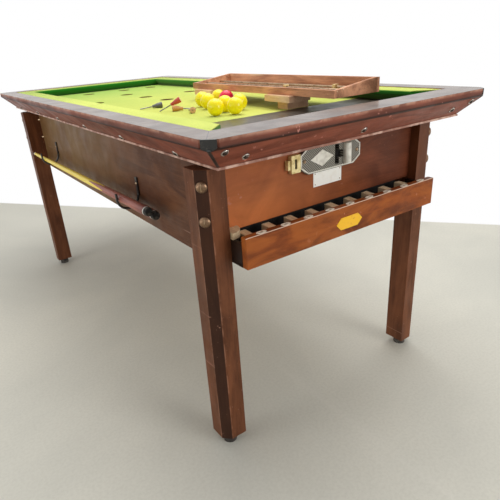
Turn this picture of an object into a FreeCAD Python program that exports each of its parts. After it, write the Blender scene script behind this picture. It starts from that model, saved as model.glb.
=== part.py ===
"""Bar billiards table: a coin-operated pub game, played from one end.

Frame: origin on the floor at the table's centre, X across the table, Y along it with the
player's end at -Y, Z up, millimetres.  A piece's faces are worked out from the sheet of driving
sizes, so a changed size moves everything that sits on it.
"""
import FreeCAD, Part
import math
import operator
import os
import types

import Sketcher
from FreeCAD import Placement, Rotation, Vector

doc = FreeCAD.newDocument("bar_billiards_table")

# ---------------------------------------------------------------- driving sizes

SIZES = {
    # overall
    "table_width": 890,
    "table_length": 1910,
    "table_height": 860,
    # top rails: a flat cap over an apron that cants inwards, with a beaded lip below it
    "cap_thickness": 17,
    "side_rail_width": 61,
    "front_rail_width": 89,
    "apron_setback": 3,
    "apron_height": 49,
    "apron_cant": 49,
    "lip_height": 5,
    "lip_projection": 2,
    "ledge_height": 17,
    # clipped corners and their dark caps
    "corner_clip": 22,
    "cap_plate_thickness": 4,
    "cap_plate_height": 22,
    "mitre_strip_width": 7,
    "mitre_strip_thickness": 3,
    "mitre_strip_proud": 0.6,
    # legs and feet
    "leg_width": 66,
    "leg_inset": 46,
    "leg_end_inset": 123.5,
    "leg_chamfer": 20,
    "leg_top_gap": 14,
    "foot_height": 28,
    "foot_radius": 19,
    "foot_thickness": 20,
    "foot_shoulder": 4,
    "foot_nut_radius": 9,
    "foot_nut_gap": 2,
    "stem_radius": 5,
    "stem_length": 45,
    "stem_clearance": 0.05,
    "stem_bore_spare": 15,
    # cabinet
    "panel_thickness": 18,
    "side_panel_depth": 268,
    "end_panel_depth": 176,
    "end_panel_setback": 28.5,
    "corner_block_leg": 85,
    "corner_block_height": 140,
    "corner_block_drop": 4,
    "bearer_width": 40,
    "bearer_height": 40,
    # bed bearers, between the rows of holes, by their distance from the far cushion
    "front_bearer_reach": 1125,
    "middle_bearer_reach": 647,
    "rear_bearer_reach": 225,
    # playing surface
    "bed_thickness": 18.5,
    "cloth_thickness": 1.5,
    "baulk_length": 278,
    "cup_radius": 28,
    "liner_wall": 2,
    "liner_length": 34.5,
    # holes in the bed: rows by their distance from the far cushion, spots by their distance sideways
    "row_one": 745,
    "row_two": 550,
    "row_three": 345,
    "row_four": 95,
    "wide_spot": 210,
    "back_inner_spot": 90,
    "back_outer_spot": 235,
    # cushions
    "cushion_width": 69,
    "cushion_height": 33,
    "cushion_foot": 44,
    "cushion_undercut_height": 19,
    "cushion_undercut": 2,
    "cushion_nose_low": 22,
    "cushion_nose_high": 29,
    "cushion_crown": 3,
    "side_cushion_mitre": 66,
    # ball return
    "return_thickness": 8,
    "return_step": 2,
    "return_rise": 78,
    # ball gate
    "gate_rod_radius": 4,
    "gate_rod_drop": 167,
    "gate_setback": 15,
    "gate_bar_thickness": 8,
    "gate_bar_drop": 52,
    "gate_side_gap": 3,
    "gate_rod_seat": 10,
    "pin_clearance": 0.05,
    # ball tray at the player's end
    "tray_board_thickness": 18,
    "tray_board_drop": 241,
    "tray_board_height": 76,
    "tray_board_gap": 1,
    "tray_depth": 71,
    "tray_floor_thickness": 8,
    "tray_end_thickness": 10,
    "tray_end_height": 50,
    "divider_width": 22,
    "tray_end_gap": 29.2,
    "divider_count": 9,
    "divider_back_height": 50,
    "divider_middle_height": 48,
    "divider_front_height": 58,
    "tray_block_radius": 38,
    "tray_block_thickness": 16,
    "tray_block_gap": 1,
    "tag_length": 28,
    "tag_width": 14,
    "tag_thickness": 1.2,
    "tag_window_length": 12,
    "tag_window_width": 6,
    "badge_length": 92,
    "badge_height": 32,
    "badge_point": 16,
    "badge_thickness": 1,
    "badge_x": -10,
    "badge_rise": 32,
    # coin plate on the front panel
    "coin_plate_left": -103,
    "coin_plate_right": 108,
    "coin_plate_drop": 19,
    "coin_plate_height": 69,
    "coin_plate_thickness": 10,
    "coin_plate_clip_x": 25,
    "coin_plate_clip_z": 18,
    "coin_diamond_x": -31,
    "coin_diamond_half_length": 39.5,
    "coin_diamond_half_height": 21,
    "coin_diamond_thickness": 1.5,
    "coin_slot_x": 22,
    "coin_slot_width": 14,
    "coin_slot_height": 51,
    "coin_slot_branch_width": 14,
    "coin_slot_branch_height": 20,
    "coin_guard_x": 55,
    "coin_guard_radius": 11,
    "coin_guard_standoff": 4,
    "coin_guard_height": 52,
    "coin_screw_inset": 13.5,
    # coin slide
    "slide_block_width": 29,
    "slide_block_height": 44,
    "slide_block_thickness": 12,
    "slide_block_gap": 1,
    "slide_air": 0.5,
    "slide_slot_width": 7,
    "slide_slot_height": 24,
    "slide_knob_width": 7,
    "slide_knob_height": 23,
    "slide_neck_length": 4,
    "slide_neck_height": 8,
    "slide_tongue_length": 100,
    "slide_tongue_height": 14,
    "slide_tongue_thickness": 4,
    # instruction plate
    "notice_left": -52,
    "notice_width": 100,
    "notice_height": 40,
    "notice_thickness": 1,
    "notice_gap": 0.4,
    "notice_pin_inset": 6,
    # coin head and timer behind the front panel
    "coin_head_width": 130,
    "coin_head_depth": 85,
    "coin_head_height": 95,
    "coin_head_drop": 4,
    "coin_throat_depth": 15,
    "chute_gap": 4,
    "chute_width": 40,
    "chute_height": 30,
    # cash drawer in the right side panel
    "drawer_setback": 95,
    "drawer_width": 90,
    "drawer_end_offset": 19.3,
    "drawer_height": 44,
    "drawer_head_gap": 5.7,
    "drawer_wall": 2,
    "drawer_air": 3,
    "drawer_plate_overlap": 10,
    "drawer_plate_thickness": 4,
    "drawer_shelf_thickness": 10,
    "drawer_shelf_overhang": 20,
    "running_air": 0.3,
    "lock_radius": 9,
    "lock_length": 10,
    "lock_proud": 4,
    "keyway_width": 2,
    # screws and bolts
    "leg_bolt_radius": 5,
    "leg_bolt_head_radius": 13,
    "leg_bolt_head_height": 7,
    "leg_bolt_nut_radius": 9,
    "leg_bolt_nut_height": 8,
    "leg_bolt_upper_drop": 51,
    "leg_bolt_lower_drop": 130,
    "rail_bolt_radius": 2.5,
    "rail_bolt_head_radius": 5,
    "rail_bolt_head_height": 4,
    "rail_bolt_washer_radius": 7,
    "rail_bolt_washer_height": 1.2,
    "rail_bolt_length": 40,
    "rail_bolt_recess_radius": 7.5,
    "rail_bolt_recess_depth": 11,
    "side_bolt_drop": 41,
    "front_bolt_one": 212,
    "front_bolt_two": 519,
    "front_bolt_three": 820,
    "rear_bolt_one": 209,
    "rear_bolt_two": 504,
    "rear_bolt_three": 794,
    "end_bolt_outer_inset": 48,
    "end_bolt_outer_drop": 14,
    "end_bolt_inner_inset": 108,
    "end_bolt_left_drop": 34,
    "end_bolt_middle_drop": 33,
    "end_bolt_right_drop": 30,
    "plate_screw_head_radius": 5,
    "plate_screw_head_height": 3,
    "plate_screw_radius": 2,
    "plate_screw_length": 22,
    "pin_head_radius": 1.6,
    "pin_head_height": 0.8,
    "pin_radius": 0.8,
    "pin_length": 9,
    # cue hooks
    "hook_front_y": -325,
    "hook_rear_y": 550,
    "hook_wire_radius": 3.75,
    "hook_radius": 34.5,
    "hook_centre_drop": 184,
    "hook_centre_offset": 38.5,
    "hook_tip_rise": 17,
    "hook_shank_width": 14,
    "hook_shank_thickness": 5,
    "hook_shank_height": 55,
    "hook_screw_rise": 35,
    # cues
    "cue_length": 1246,
    "cue_butt_radius": 14,
    "cue_tip_radius": 6,
    "cue_bumper_radius": 13,
    "cue_front_stand": 10,
    "cue_rear_stand": 20,
    "cue_bumper_length": 14,
    "cue_bumper_rounding": 3,
    "cue_ring_length": 5,
    # balls and skittles
    "ball_diameter": 47.6,
    "lying_gap": 0.3,
    "skittle_length": 76,
    "skittle_body_length": 34,
    "skittle_radius": 9.5,
    "skittle_middle": 17,
    "skittle_middle_radius": 7.6,
    "skittle_neck": 27,
    "skittle_neck_radius": 5,
    "skittle_pin_radius": 1.75,
    # scoreboard, lying on its back on the cloth
    "board_near_x": 45,
    "board_width": 170,
    "board_front_gap": 89,
    "board_length": 720,
    "board_wood": 12,
    "board_near_height": 20,
    "board_far_height": 38,
    "board_back_thickness": 3,
    "scale_width": 34,
    "scale_thickness": 4,
    "rod_radius": 3,
    "rod_rise": 15,
    "near_rod_offset": 53,
    "far_rod_offset": 112,
    "rod_seat": 6,
    "board_foot_overhang": 15,
    "board_foot_length": 80,
    "board_foot_width": 113,
    "board_foot_plank": 18,
    "board_foot_riser": 22,
    "board_foot_riser_shift": 22,
    "board_foot_riser_width": 45,
    "front_foot_offset": 159,
    "rear_foot_offset": 574,
    "pointer_width": 16,
    "pointer_length": 10,
    "pointer_height": 14,
    "near_pointer_offset": 248,
    "far_pointer_offset": 103,
}

sheet = doc.addObject("Spreadsheet::Sheet", "sizes")
places = doc.addObject("Spreadsheet::Sheet", "places")


class Size:
    """A number together with the sheet expression that gives it."""

    def __init__(self, text, number):
        self.text = text
        self.number = number

    def __add__(self, other):
        return joined(self, "+", other)

    def __radd__(self, other):
        return joined(other, "+", self)

    def __sub__(self, other):
        return joined(self, "-", other)

    def __rsub__(self, other):
        return joined(other, "-", self)

    def __mul__(self, other):
        return joined(self, "*", other)

    def __rmul__(self, other):
        return joined(other, "*", self)

    def __truediv__(self, other):
        return joined(self, "/", other)

    def __neg__(self):
        return joined(0, "-", self)


OPERATIONS = {"+": operator.add, "-": operator.sub, "*": operator.mul, "/": operator.truediv}


def text_of(amount):
    return amount.text if isinstance(amount, Size) else repr(float(amount))


def number_of(amount):
    return amount.number if isinstance(amount, Size) else float(amount)


def joined(left, sign, right):
    result = OPERATIONS[sign](number_of(left), number_of(right))
    return Size(f"({text_of(left)} {sign} {text_of(right)})", result)


def fill_sheet():
    """Write each driving size into the sheet, with its name as the cell's alias."""
    named = types.SimpleNamespace()
    for row, (name, number) in enumerate(SIZES.items(), start=1):
        sheet.set(f"A{row}", name)
        sheet.set(f"B{row}", str(number))
        sheet.setAlias(f"B{row}", name)
        setattr(named, name, Size(f"sizes.{name}", float(number)))
    return named


def keep(name, amount):
    """Give a worked-out place a name of its own in the second sheet."""
    keep.row += 1
    places.set(f"A{keep.row}", name)
    places.set(f"B{keep.row}", f"={text_of(amount)}")
    places.setAlias(f"B{keep.row}", name)
    return Size(f"places.{name}", number_of(amount))


keep.row = 0
size = fill_sheet()

# ---------------------------------------------------------------- worked-out places

half_width = keep("half_width", size.table_width / 2)
half_length = keep("half_length", size.table_length / 2)
cap_under = keep("cap_under", size.table_height - size.cap_thickness)
lip_top = keep("lip_top", cap_under - size.apron_height)
rim_under = keep("rim_under", lip_top - size.lip_height)
ledge_top = keep("ledge_top", rim_under + size.ledge_height)
inner_x = keep("inner_x", half_width - size.side_rail_width)
inner_front = keep("inner_front", size.front_rail_width - half_length)
inner_rear = keep("inner_rear", half_length - size.side_rail_width)

leg_outer_x = keep("leg_outer_x", half_width - size.leg_inset)
leg_inner_x = keep("leg_inner_x", leg_outer_x - size.leg_width)
leg_outer_y = keep("leg_outer_y", half_length - size.leg_end_inset)
leg_inner_y = keep("leg_inner_y", leg_outer_y - size.leg_width)
leg_top = keep("leg_top", rim_under - size.leg_top_gap)

panel_outer_x = leg_inner_x
panel_inner_x = keep("panel_inner_x", panel_outer_x - size.panel_thickness)
panel_outer_y = keep("panel_outer_y", leg_outer_y - size.end_panel_setback)
panel_inner_y = keep("panel_inner_y", panel_outer_y - size.panel_thickness)
side_panel_bottom = keep("side_panel_bottom", rim_under - size.side_panel_depth)
end_panel_bottom = keep("end_panel_bottom", rim_under - size.end_panel_depth)

bed_top = keep("bed_top", ledge_top + size.bed_thickness)
cloth_top = keep("cloth_top", bed_top + size.cloth_thickness)
baulk_line = keep("baulk_line", inner_front + size.baulk_length)
rear_nose = keep("rear_nose", inner_rear - size.cushion_width)
side_nose = keep("side_nose", inner_x - size.cushion_width)
liner_radius = keep("liner_radius", size.cup_radius + size.liner_wall)

tray_back = keep("tray_back", -panel_outer_y)
tray_front = keep("tray_front", tray_back - size.tray_depth)
tray_board_bottom = keep("tray_board_bottom", rim_under - size.tray_board_drop)
tray_floor_top = keep("tray_floor_top", tray_board_bottom + size.tray_floor_thickness)
tray_board_top = keep("tray_board_top", tray_board_bottom + size.tray_board_height)
return_front_height = keep("return_front_height", tray_floor_top + size.return_step)
gate_rod_height = keep("gate_rod_height", rim_under - size.gate_rod_drop)

coin_plate_top = keep("coin_plate_top", rim_under - size.coin_plate_drop)
head_top = keep("head_top", rim_under - size.coin_head_drop)
head_bottom = keep("head_bottom", head_top - size.coin_head_height)
head_back = keep("head_back", size.coin_head_depth - panel_inner_y)

drawer_right = keep("drawer_right", panel_outer_x + size.running_air)
drawer_left = keep("drawer_left", size.coin_slot_x + size.drawer_end_offset)
drawer_near = keep("drawer_near", size.drawer_setback - panel_inner_y)
drawer_far = keep("drawer_far", drawer_near + size.drawer_width)
drawer_top = keep("drawer_top", head_bottom - size.drawer_head_gap)
drawer_bottom = keep("drawer_bottom", drawer_top - size.drawer_height)
shelf_top = keep("shelf_top", drawer_bottom - size.running_air)

hook_x = keep("hook_x", -panel_outer_x - size.hook_centre_offset)
hook_centre_height = keep("hook_centre_height", rim_under - size.hook_centre_drop)

# The four corners, by the sign of X and of Y.
CORNERS = {
    "front_left": (-1, -1),
    "front_right": (1, -1),
    "rear_left": (-1, 1),
    "rear_right": (1, 1),
}
SIDES = {"left": -1, "right": 1}

# ---------------------------------------------------------------- modelling helpers

nodes = {}


def bind(piece, path, amount):
    piece.setExpression(path, text_of(amount))


def aim(piece, start, direction=(0, 0, 1)):
    """Put the piece's own origin at start and turn its own Z axis to the direction."""
    turn = Rotation(Vector(0, 0, 1), Vector(*direction))
    piece.Placement = Placement(Vector(*map(number_of, start)), turn)
    for axis, amount in zip("xyz", start):
        bind(piece, f"Placement.Base.{axis}", amount)
    return piece


def slab(name, lengths, start, turn=Rotation()):
    """A box by its three lengths, from its own low corner at start, turned about that corner."""
    piece = doc.addObject("Part::Box", name)
    piece.Placement.Rotation = turn
    for edge, axis, length, place in zip(("Length", "Width", "Height"), "xyz", lengths, start):
        bind(piece, edge, length)
        bind(piece, f"Placement.Base.{axis}", place)
    return piece


def block(name, *spans):
    """A box square to the table, between a low and a high place along each axis."""
    return slab(name, [high - low for low, high in spans], [low for low, high in spans])


def rod(name, radius, start, direction, length):
    piece = doc.addObject("Part::Cylinder", name)
    bind(piece, "Radius", radius)
    bind(piece, "Height", length)
    return aim(piece, start, direction)


def fuse(name, *pieces):
    if len(pieces) == 1:
        return pieces[0]
    joint = doc.addObject("Part::MultiFuse", name)
    joint.Shapes = list(pieces)
    return joint


def cut(name, base, *tools):
    result = doc.addObject("Part::Cut", name)
    result.Base = base
    result.Tool = fuse(f"{name}_tools", *tools)
    return result


def common(name, base, tool):
    result = doc.addObject("Part::Common", name)
    result.Base = base
    result.Tool = tool
    return result


def group(name, *pieces):
    result = doc.addObject("Part::Compound", name)
    result.Links = list(pieces)
    return result


def new_sketch(body, plane):
    """A sketch on one of the body's own origin planes."""
    sketch = body.newObject("Sketcher::SketchObject", f"{body.Name}_sketch")
    origin_plane = next(part for part in body.Origin.OriginFeatures if part.Role == plane)
    sketch.AttachmentSupport = [(origin_plane, "")]
    sketch.MapMode = "FlatFace"
    return sketch


def constrain(sketch, kind, amount, *where):
    index = sketch.addConstraint(Sketcher.Constraint(kind, *where, number_of(amount)))
    label = f"{kind}_{index}"
    sketch.renameConstraint(index, label)
    sketch.setExpression(f"Constraints.{label}", text_of(amount))


def pin_point(sketch, geometry, end, across, up):
    """Hold one end of a sketch line, or a circle's centre, at its distance from the origin."""
    constrain(sketch, "DistanceX", across, -1, 1, geometry, end)
    constrain(sketch, "DistanceY", up, -1, 1, geometry, end)


def draw_outline(sketch, outline):
    """A closed outline of straight lines, each corner held by its two coordinates."""
    corners = [Vector(number_of(across), number_of(up)) for across, up in outline]
    for start, end in zip(corners, corners[1:] + corners[:1]):
        sketch.addGeometry(Part.LineSegment(start, end), False)
    for line in range(len(outline)):
        following = (line + 1) % len(outline)
        sketch.addConstraint(Sketcher.Constraint("Coincident", line, 2, following, 1))
    for line, (across, up) in enumerate(outline):
        pin_point(sketch, line, 1, across, up)


def draw_circle(sketch, across, up, radius):
    centre = Vector(number_of(across), number_of(up))
    circle = Part.Circle(centre, Vector(0, 0, 1), number_of(radius))
    geometry = sketch.addGeometry(circle, False)
    pin_point(sketch, geometry, 3, across, up)
    constrain(sketch, "Radius", radius, geometry)


def prism(name, plane, outline, span, circles=()):
    """A pad of an outline drawn in world coordinates of the named plane, over a span across it."""
    body = doc.addObject("PartDesign::Body", name)
    sketch = new_sketch(body, f"{plane}_Plane")
    draw_outline(sketch, outline)
    for across, up, radius in circles:
        draw_circle(sketch, across, up, radius)
    pad = body.newObject("PartDesign::Pad", f"{name}_pad")
    pad.Profile = sketch
    low, high = span
    bind(pad, "Length", high - low)
    body.Tip = pad
    # The XZ plane faces -Y, so a pad on it starts at the span's high end.
    axis, start = {"XY": ("z", low), "YZ": ("x", low), "XZ": ("y", high)}[plane]
    bind(body, f"Placement.Base.{axis}", start)
    return body


def turned(name, profile, start=(0, 0, 0), direction=(0, 0, 1)):
    """A solid of revolution: its profile runs in (radius, distance along the axis)."""
    body = doc.addObject("PartDesign::Body", name)
    sketch = new_sketch(body, "XZ_Plane")
    draw_outline(sketch, profile)
    spin = body.newObject("PartDesign::Revolution", f"{name}_spin")
    spin.Profile = sketch
    spin.ReferenceAxis = (sketch, ["V_Axis"])
    spin.Angle = 360
    body.Tip = spin
    return aim(body, start, direction)


# A domed head in shares of its radius and height: where its crown turns down, and its rim.
CROWN_RADIUS, CROWN_HEIGHT, RIM_HEIGHT = 0.62, 0.8, 0.15


def domed_head(radius, height):
    return [
        (0, -height),
        (radius * CROWN_RADIUS, height * -CROWN_HEIGHT),
        (radius, height * -RIM_HEIGHT),
        (radius, 0),
    ]


def screw(name, start, direction, head, shank):
    """A domed screw whose head sits on a face at start, and whose shank runs along direction.

    head is (radius, height), shank is (radius, length).
    """
    shank_radius, length = shank
    profile = domed_head(*head) + [(shank_radius, 0), (shank_radius, length), (0, length)]
    return turned(name, profile, start, direction)


def node(name, *pieces):
    """Name a finished sub-part: one piece, or a group of separate solids."""
    piece = pieces[0] if len(pieces) == 1 else group(f"{name}_group", *pieces)
    piece.Label = name
    nodes[name] = piece


# ---------------------------------------------------------------- bolts through the legs

DIAGONAL = math.sqrt(0.5)
leg_bolt_grip = keep(
    "leg_bolt_grip",
    (leg_outer_x + leg_outer_y - size.leg_chamfer
     - panel_inner_x - panel_inner_y + size.corner_block_leg) * DIAGONAL,
)
leg_bolts = []
leg_bores = {corner: [] for corner in CORNERS}


def leg_bolt(name, start, inward):
    """A coach bolt with its nut: dome outside the leg's facet, nut on the corner block."""
    nut, end = size.leg_bolt_nut_radius, leg_bolt_grip + size.leg_bolt_nut_height
    profile = [
        *domed_head(size.leg_bolt_head_radius, size.leg_bolt_head_height),
        (size.leg_bolt_radius, 0),
        (size.leg_bolt_radius, leg_bolt_grip),
        (nut, leg_bolt_grip),
        (nut, end),
        (0, end),
    ]
    return turned(name, profile, start, inward)


for corner, (sign_x, sign_y) in CORNERS.items():
    facet_x = sign_x * (leg_outer_x - size.leg_chamfer / 2)
    facet_y = sign_y * (leg_outer_y - size.leg_chamfer / 2)
    inward = (-sign_x * DIAGONAL, -sign_y * DIAGONAL, 0)
    for row, drop in (("upper", size.leg_bolt_upper_drop), ("lower", size.leg_bolt_lower_drop)):
        start = (facet_x, facet_y, rim_under - drop)
        leg_bolts.append(leg_bolt(f"leg_bolt_{corner}_{row}", start, inward))
        bore = rod(f"leg_bore_{corner}_{row}", size.leg_bolt_radius, start, inward, leg_bolt_grip)
        leg_bores[corner].append(bore)

# ---------------------------------------------------------------- legs and feet


def leg_outline(sign_x, sign_y):
    return [
        (sign_x * leg_inner_x, sign_y * leg_inner_y),
        (sign_x * leg_outer_x, sign_y * leg_inner_y),
        (sign_x * leg_outer_x, sign_y * (leg_outer_y - size.leg_chamfer)),
        (sign_x * (leg_outer_x - size.leg_chamfer), sign_y * leg_outer_y),
        (sign_x * leg_inner_x, sign_y * leg_outer_y),
    ]


def make_foot(name, centre):
    """A rubber disc on a threaded stem, with a lock nut under the leg."""
    nut_bottom = size.foot_thickness + size.foot_nut_gap
    profile = [
        (0, 0),
        (size.foot_radius, 0),
        (size.foot_radius, size.foot_thickness - size.foot_shoulder),
        (size.foot_radius - size.foot_shoulder, size.foot_thickness),
        (size.stem_radius, size.foot_thickness),
        (size.stem_radius, nut_bottom),
        (size.foot_nut_radius, nut_bottom),
        (size.foot_nut_radius, size.foot_height - size.running_air),
        (size.stem_radius, size.foot_height - size.running_air),
        (size.stem_radius, size.foot_height + size.stem_length),
        (0, size.foot_height + size.stem_length),
    ]
    return turned(name, profile, (*centre, 0))


for corner, (sign_x, sign_y) in CORNERS.items():
    centre = (sign_x * (leg_outer_x - size.leg_width / 2), sign_y * (leg_outer_y - size.leg_width / 2))
    blank = prism(f"leg_blank_{corner}", "XY", leg_outline(sign_x, sign_y), (size.foot_height, leg_top))
    stem_bore = rod(
        f"stem_bore_{corner}",
        size.stem_radius + size.stem_clearance,
        (*centre, size.foot_height),
        (0, 0, 1),
        size.stem_length + size.stem_bore_spare,
    )
    node(f"leg_{corner}", cut(f"leg_{corner}_bored", blank, stem_bore, *leg_bores[corner]))
    node(f"foot_{corner}", make_foot(f"foot_{corner}_body", centre))

# ---------------------------------------------------------------- top rails

# The aprons are one canted ring, opened above and below its ledge, then mitred into four.
ring = doc.addObject("Part::Wedge", "apron_ring")
low_x, high_x = half_width - size.apron_setback - size.apron_cant, half_width - size.apron_setback
low_y, high_y = half_length - size.apron_setback - size.apron_cant, half_length - size.apron_setback
for path, amount in (
    ("Xmin", -low_x), ("Xmax", low_x), ("Zmin", -low_y), ("Zmax", low_y),
    ("X2min", -high_x), ("X2max", high_x), ("Z2min", -high_y), ("Z2max", high_y),
    ("Ymin", 0), ("Ymax", size.apron_height),
):
    bind(ring, path, amount)
ring.Placement = Placement(Vector(), Rotation(Vector(1, 0, 0), 90))
bind(ring, "Placement.Base.z", lip_top)

lip_x, lip_y = low_x + size.lip_projection, low_y + size.lip_projection
lip = block("lip_slab", (-lip_x, lip_x), (-lip_y, lip_y), (rim_under, lip_top))
bed_space = block("bed_space", (-inner_x, inner_x), (inner_front, inner_rear), (ledge_top, cap_under))
well_space = block(
    "well_space", (-panel_inner_x, panel_inner_x), (-panel_inner_y, panel_inner_y), (rim_under, ledge_top)
)
rim = cut("rim", fuse("rim_blank", ring, lip), bed_space, well_space)

# Plan outlines of the four aprons, and of the four caps that lie on them.
mitre_y = keep("mitre_y", half_length - half_width + panel_inner_x)
clip = keep("clip", size.corner_clip + size.cap_plate_thickness / DIAGONAL)


def side_apron_outline(sign):
    return [
        (sign * half_width, -half_length),
        (sign * panel_inner_x, -mitre_y),
        (sign * panel_inner_x, mitre_y),
        (sign * half_width, half_length),
    ]


def end_apron_outline(sign):
    return [
        (-half_width, sign * half_length),
        (half_width, sign * half_length),
        (panel_inner_x, sign * mitre_y),
        (panel_inner_x, sign * panel_inner_y),
        (-panel_inner_x, sign * panel_inner_y),
        (-panel_inner_x, sign * mitre_y),
    ]


def side_cap_outline(sign):
    return [
        (sign * half_width, clip - half_length),
        (sign * inner_x, inner_front),
        (sign * inner_x, inner_rear),
        (sign * half_width, half_length - clip),
    ]


def end_cap_outline(sign, inner_y):
    return [
        (-half_width, sign * (half_length - clip)),
        (clip - half_width, sign * half_length),
        (half_width - clip, sign * half_length),
        (half_width, sign * (half_length - clip)),
        (inner_x, inner_y),
        (-inner_x, inner_y),
    ]


RAILS = {
    "left": (side_apron_outline(-1), side_cap_outline(-1)),
    "right": (side_apron_outline(1), side_cap_outline(1)),
    "front": (end_apron_outline(-1), end_cap_outline(-1, inner_front)),
    "rear": (end_apron_outline(1), end_cap_outline(1, inner_rear)),
}

# Corner caps: a plate on each clipped corner, and a thin strip down the mitre of the aprons.
plate_bottom = keep("plate_bottom", size.table_height - size.cap_plate_height)
plate_width = keep("plate_width", size.corner_clip / DIAGONAL)
CANT_MITRE = math.sqrt(3)  # length of a 45 degree mitre on a 45 degree cant, for each unit of drop
MITRE_SLOPE = math.tan(math.radians(60))  # the cants meet at 120 degrees, 60 either side of the strip
strip_length = keep("strip_length", (plate_bottom - lip_top) * CANT_MITRE)
strip_chamfer = keep("strip_chamfer", size.mitre_strip_width / (MITRE_SLOPE * 2))


def corner_box(name, signs, width, heights, depths):
    """A box square to a clipped corner: depths are measured outwards from the clip's face."""
    sign_x, sign_y = signs
    outward = Vector(sign_x, sign_y, 0).normalize()
    along = Vector(-sign_y, sign_x, 0).normalize()
    (low, high), (inside, outside) = heights, depths
    start = (
        sign_x * (half_width - size.corner_clip / 2) + outward.x * inside - along.x * width / 2,
        sign_y * (half_length - size.corner_clip / 2) + outward.y * inside - along.y * width / 2,
        low,
    )
    turn = Rotation(along, Vector(0, 0, 1), outward, "ZYX")
    return slab(name, (width, high - low, outside - inside), start, turn)


def arris_box(name, signs, depths):
    """A box down the arris where two aprons meet: depths are measured outwards from the arris."""
    sign_x, sign_y = signs
    down = Vector(-sign_x, -sign_y, -1).normalize()
    outward = Vector(sign_x, sign_y, -2).normalize()
    turn = Rotation(down.cross(outward) * -1, down, outward, "ZYX")
    edge = turn.multVec(Vector(1, 0, 0))
    inside, outside = depths
    drop = cap_under - plate_bottom
    arris = (sign_x * (high_x - drop), sign_y * (high_y - drop), plate_bottom)
    half = size.mitre_strip_width / 2
    start = [place + out * inside - side * half for place, out, side in zip(arris, outward, edge)]
    return slab(name, (size.mitre_strip_width, strip_length, outside - inside), start, turn)


corner_caps = []
corner_cutters = []
for corner, signs in CORNERS.items():
    sign_x, sign_y = signs
    clip_face = (-size.cap_plate_thickness, 0)
    plate_heights = (plate_bottom, size.table_height)
    plate_blank = corner_box(f"cap_plate_{corner}_blank", signs, plate_width, plate_heights, clip_face)
    rounding = rod(
        f"cap_plate_{corner}_round",
        size.cap_plate_height,
        (
            sign_x * (half_width - size.corner_clip / 2),
            sign_y * (half_length - size.corner_clip / 2),
            size.table_height,
        ),
        (-sign_x * DIAGONAL, -sign_y * DIAGONAL, 0),
        size.cap_plate_thickness,
    )
    corner_caps.append(common(f"cap_plate_{corner}", plate_blank, rounding))
    waste_heights, waste_depths = (rim_under, size.table_height), (0, size.corner_clip)
    corner_cutters.append(plate_blank)
    corner_cutters.append(
        corner_box(f"corner_waste_{corner}", signs, plate_width * 2, waste_heights, waste_depths)
    )
    strip_top = size.mitre_strip_proud - strip_chamfer
    strip_bottom = strip_top - size.mitre_strip_thickness
    corner_caps.append(arris_box(f"mitre_strip_{corner}", signs, (strip_bottom, strip_top)))
    corner_cutters.append(arris_box(f"mitre_notch_{corner}", signs, (strip_bottom, strip_chamfer)))

# Bolts hidden in round recesses of the canted faces: (place along the rail, drop below the cap).
END_BOLTS = [
    (size.end_bolt_outer_inset - half_width, size.end_bolt_outer_drop),
    (size.end_bolt_inner_inset - half_width, size.end_bolt_left_drop),
    (0, size.end_bolt_middle_drop),
    (half_width - size.end_bolt_inner_inset, size.end_bolt_right_drop),
    (half_width - size.end_bolt_outer_inset, size.end_bolt_outer_drop),
]
SIDE_BOLTS = [
    size.front_bolt_one - half_length,
    size.front_bolt_two - half_length,
    size.front_bolt_three - half_length,
    half_length - size.rear_bolt_three,
    half_length - size.rear_bolt_two,
    half_length - size.rear_bolt_one,
]
BOLT_CROWN = 0.7  # the flat of a bolt's head, as a share of its radius
rail_bolts = []
rail_cutters = []
rear_bolt_bores = []


def rail_bolt(name, across, drop, direction):
    """A bolt driven level into the canted face, with the recess that takes its head."""
    inward = Vector(*direction)
    height = cap_under - drop
    from_edge = size.apron_setback + drop + size.rail_bolt_recess_depth
    if inward.x:
        start = (-inward.x * (half_width - from_edge), across, height)
    else:
        start = (across, -inward.y * (half_length - from_edge), height)
    washer, head = size.rail_bolt_washer_radius, size.rail_bolt_head_radius
    washer_top = -size.rail_bolt_washer_height
    head_top = washer_top - size.rail_bolt_head_height
    shank = size.rail_bolt_radius
    profile = [
        (0, head_top),
        (head * BOLT_CROWN, head_top),
        (head, head_top + size.rail_bolt_head_height / 2),
        (head, washer_top),
        (washer, washer_top),
        (washer, 0),
        (shank, 0),
        (shank, size.rail_bolt_length),
        (0, size.rail_bolt_length),
    ]
    rail_bolts.append(turned(name, profile, start, direction))
    bore = rod(f"{name}_bore", shank, start, direction, size.rail_bolt_length)
    rail_cutters.append(bore)
    outward = (-inward.x, -inward.y, 0)
    rail_cutters.append(
        rod(f"{name}_recess", size.rail_bolt_recess_radius, start, outward, size.apron_cant)
    )
    return bore


for number, (across, drop) in enumerate(END_BOLTS):
    rail_bolt(f"front_bolt_{number}", across, drop, (0, 1, 0))
    rear_bolt_bores.append(rail_bolt(f"rear_bolt_{number}", across, drop, (0, -1, 0)))
for number, along_rail in enumerate(SIDE_BOLTS):
    rail_bolt(f"left_bolt_{number}", along_rail, size.side_bolt_drop, (1, 0, 0))
    rail_bolt(f"right_bolt_{number}", along_rail, size.side_bolt_drop, (-1, 0, 0))

all_cutters = fuse("rail_cutters", *corner_cutters, *rail_cutters)
for side, (apron_outline, cap_outline) in RAILS.items():
    plan = prism(f"apron_{side}_plan", "XY", apron_outline, (rim_under, cap_under))
    apron = cut(f"apron_{side}", common(f"apron_{side}_blank", rim, plan), all_cutters)
    cap_blank = prism(f"cap_{side}_blank", "XY", cap_outline, (cap_under, size.table_height))
    node(f"rail_{side}", apron, cut(f"cap_{side}", cap_blank, *corner_cutters))
node("corner_caps", *corner_caps)
node("table_bolts", *leg_bolts, *rail_bolts)

# ---------------------------------------------------------------- playing surface

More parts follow.
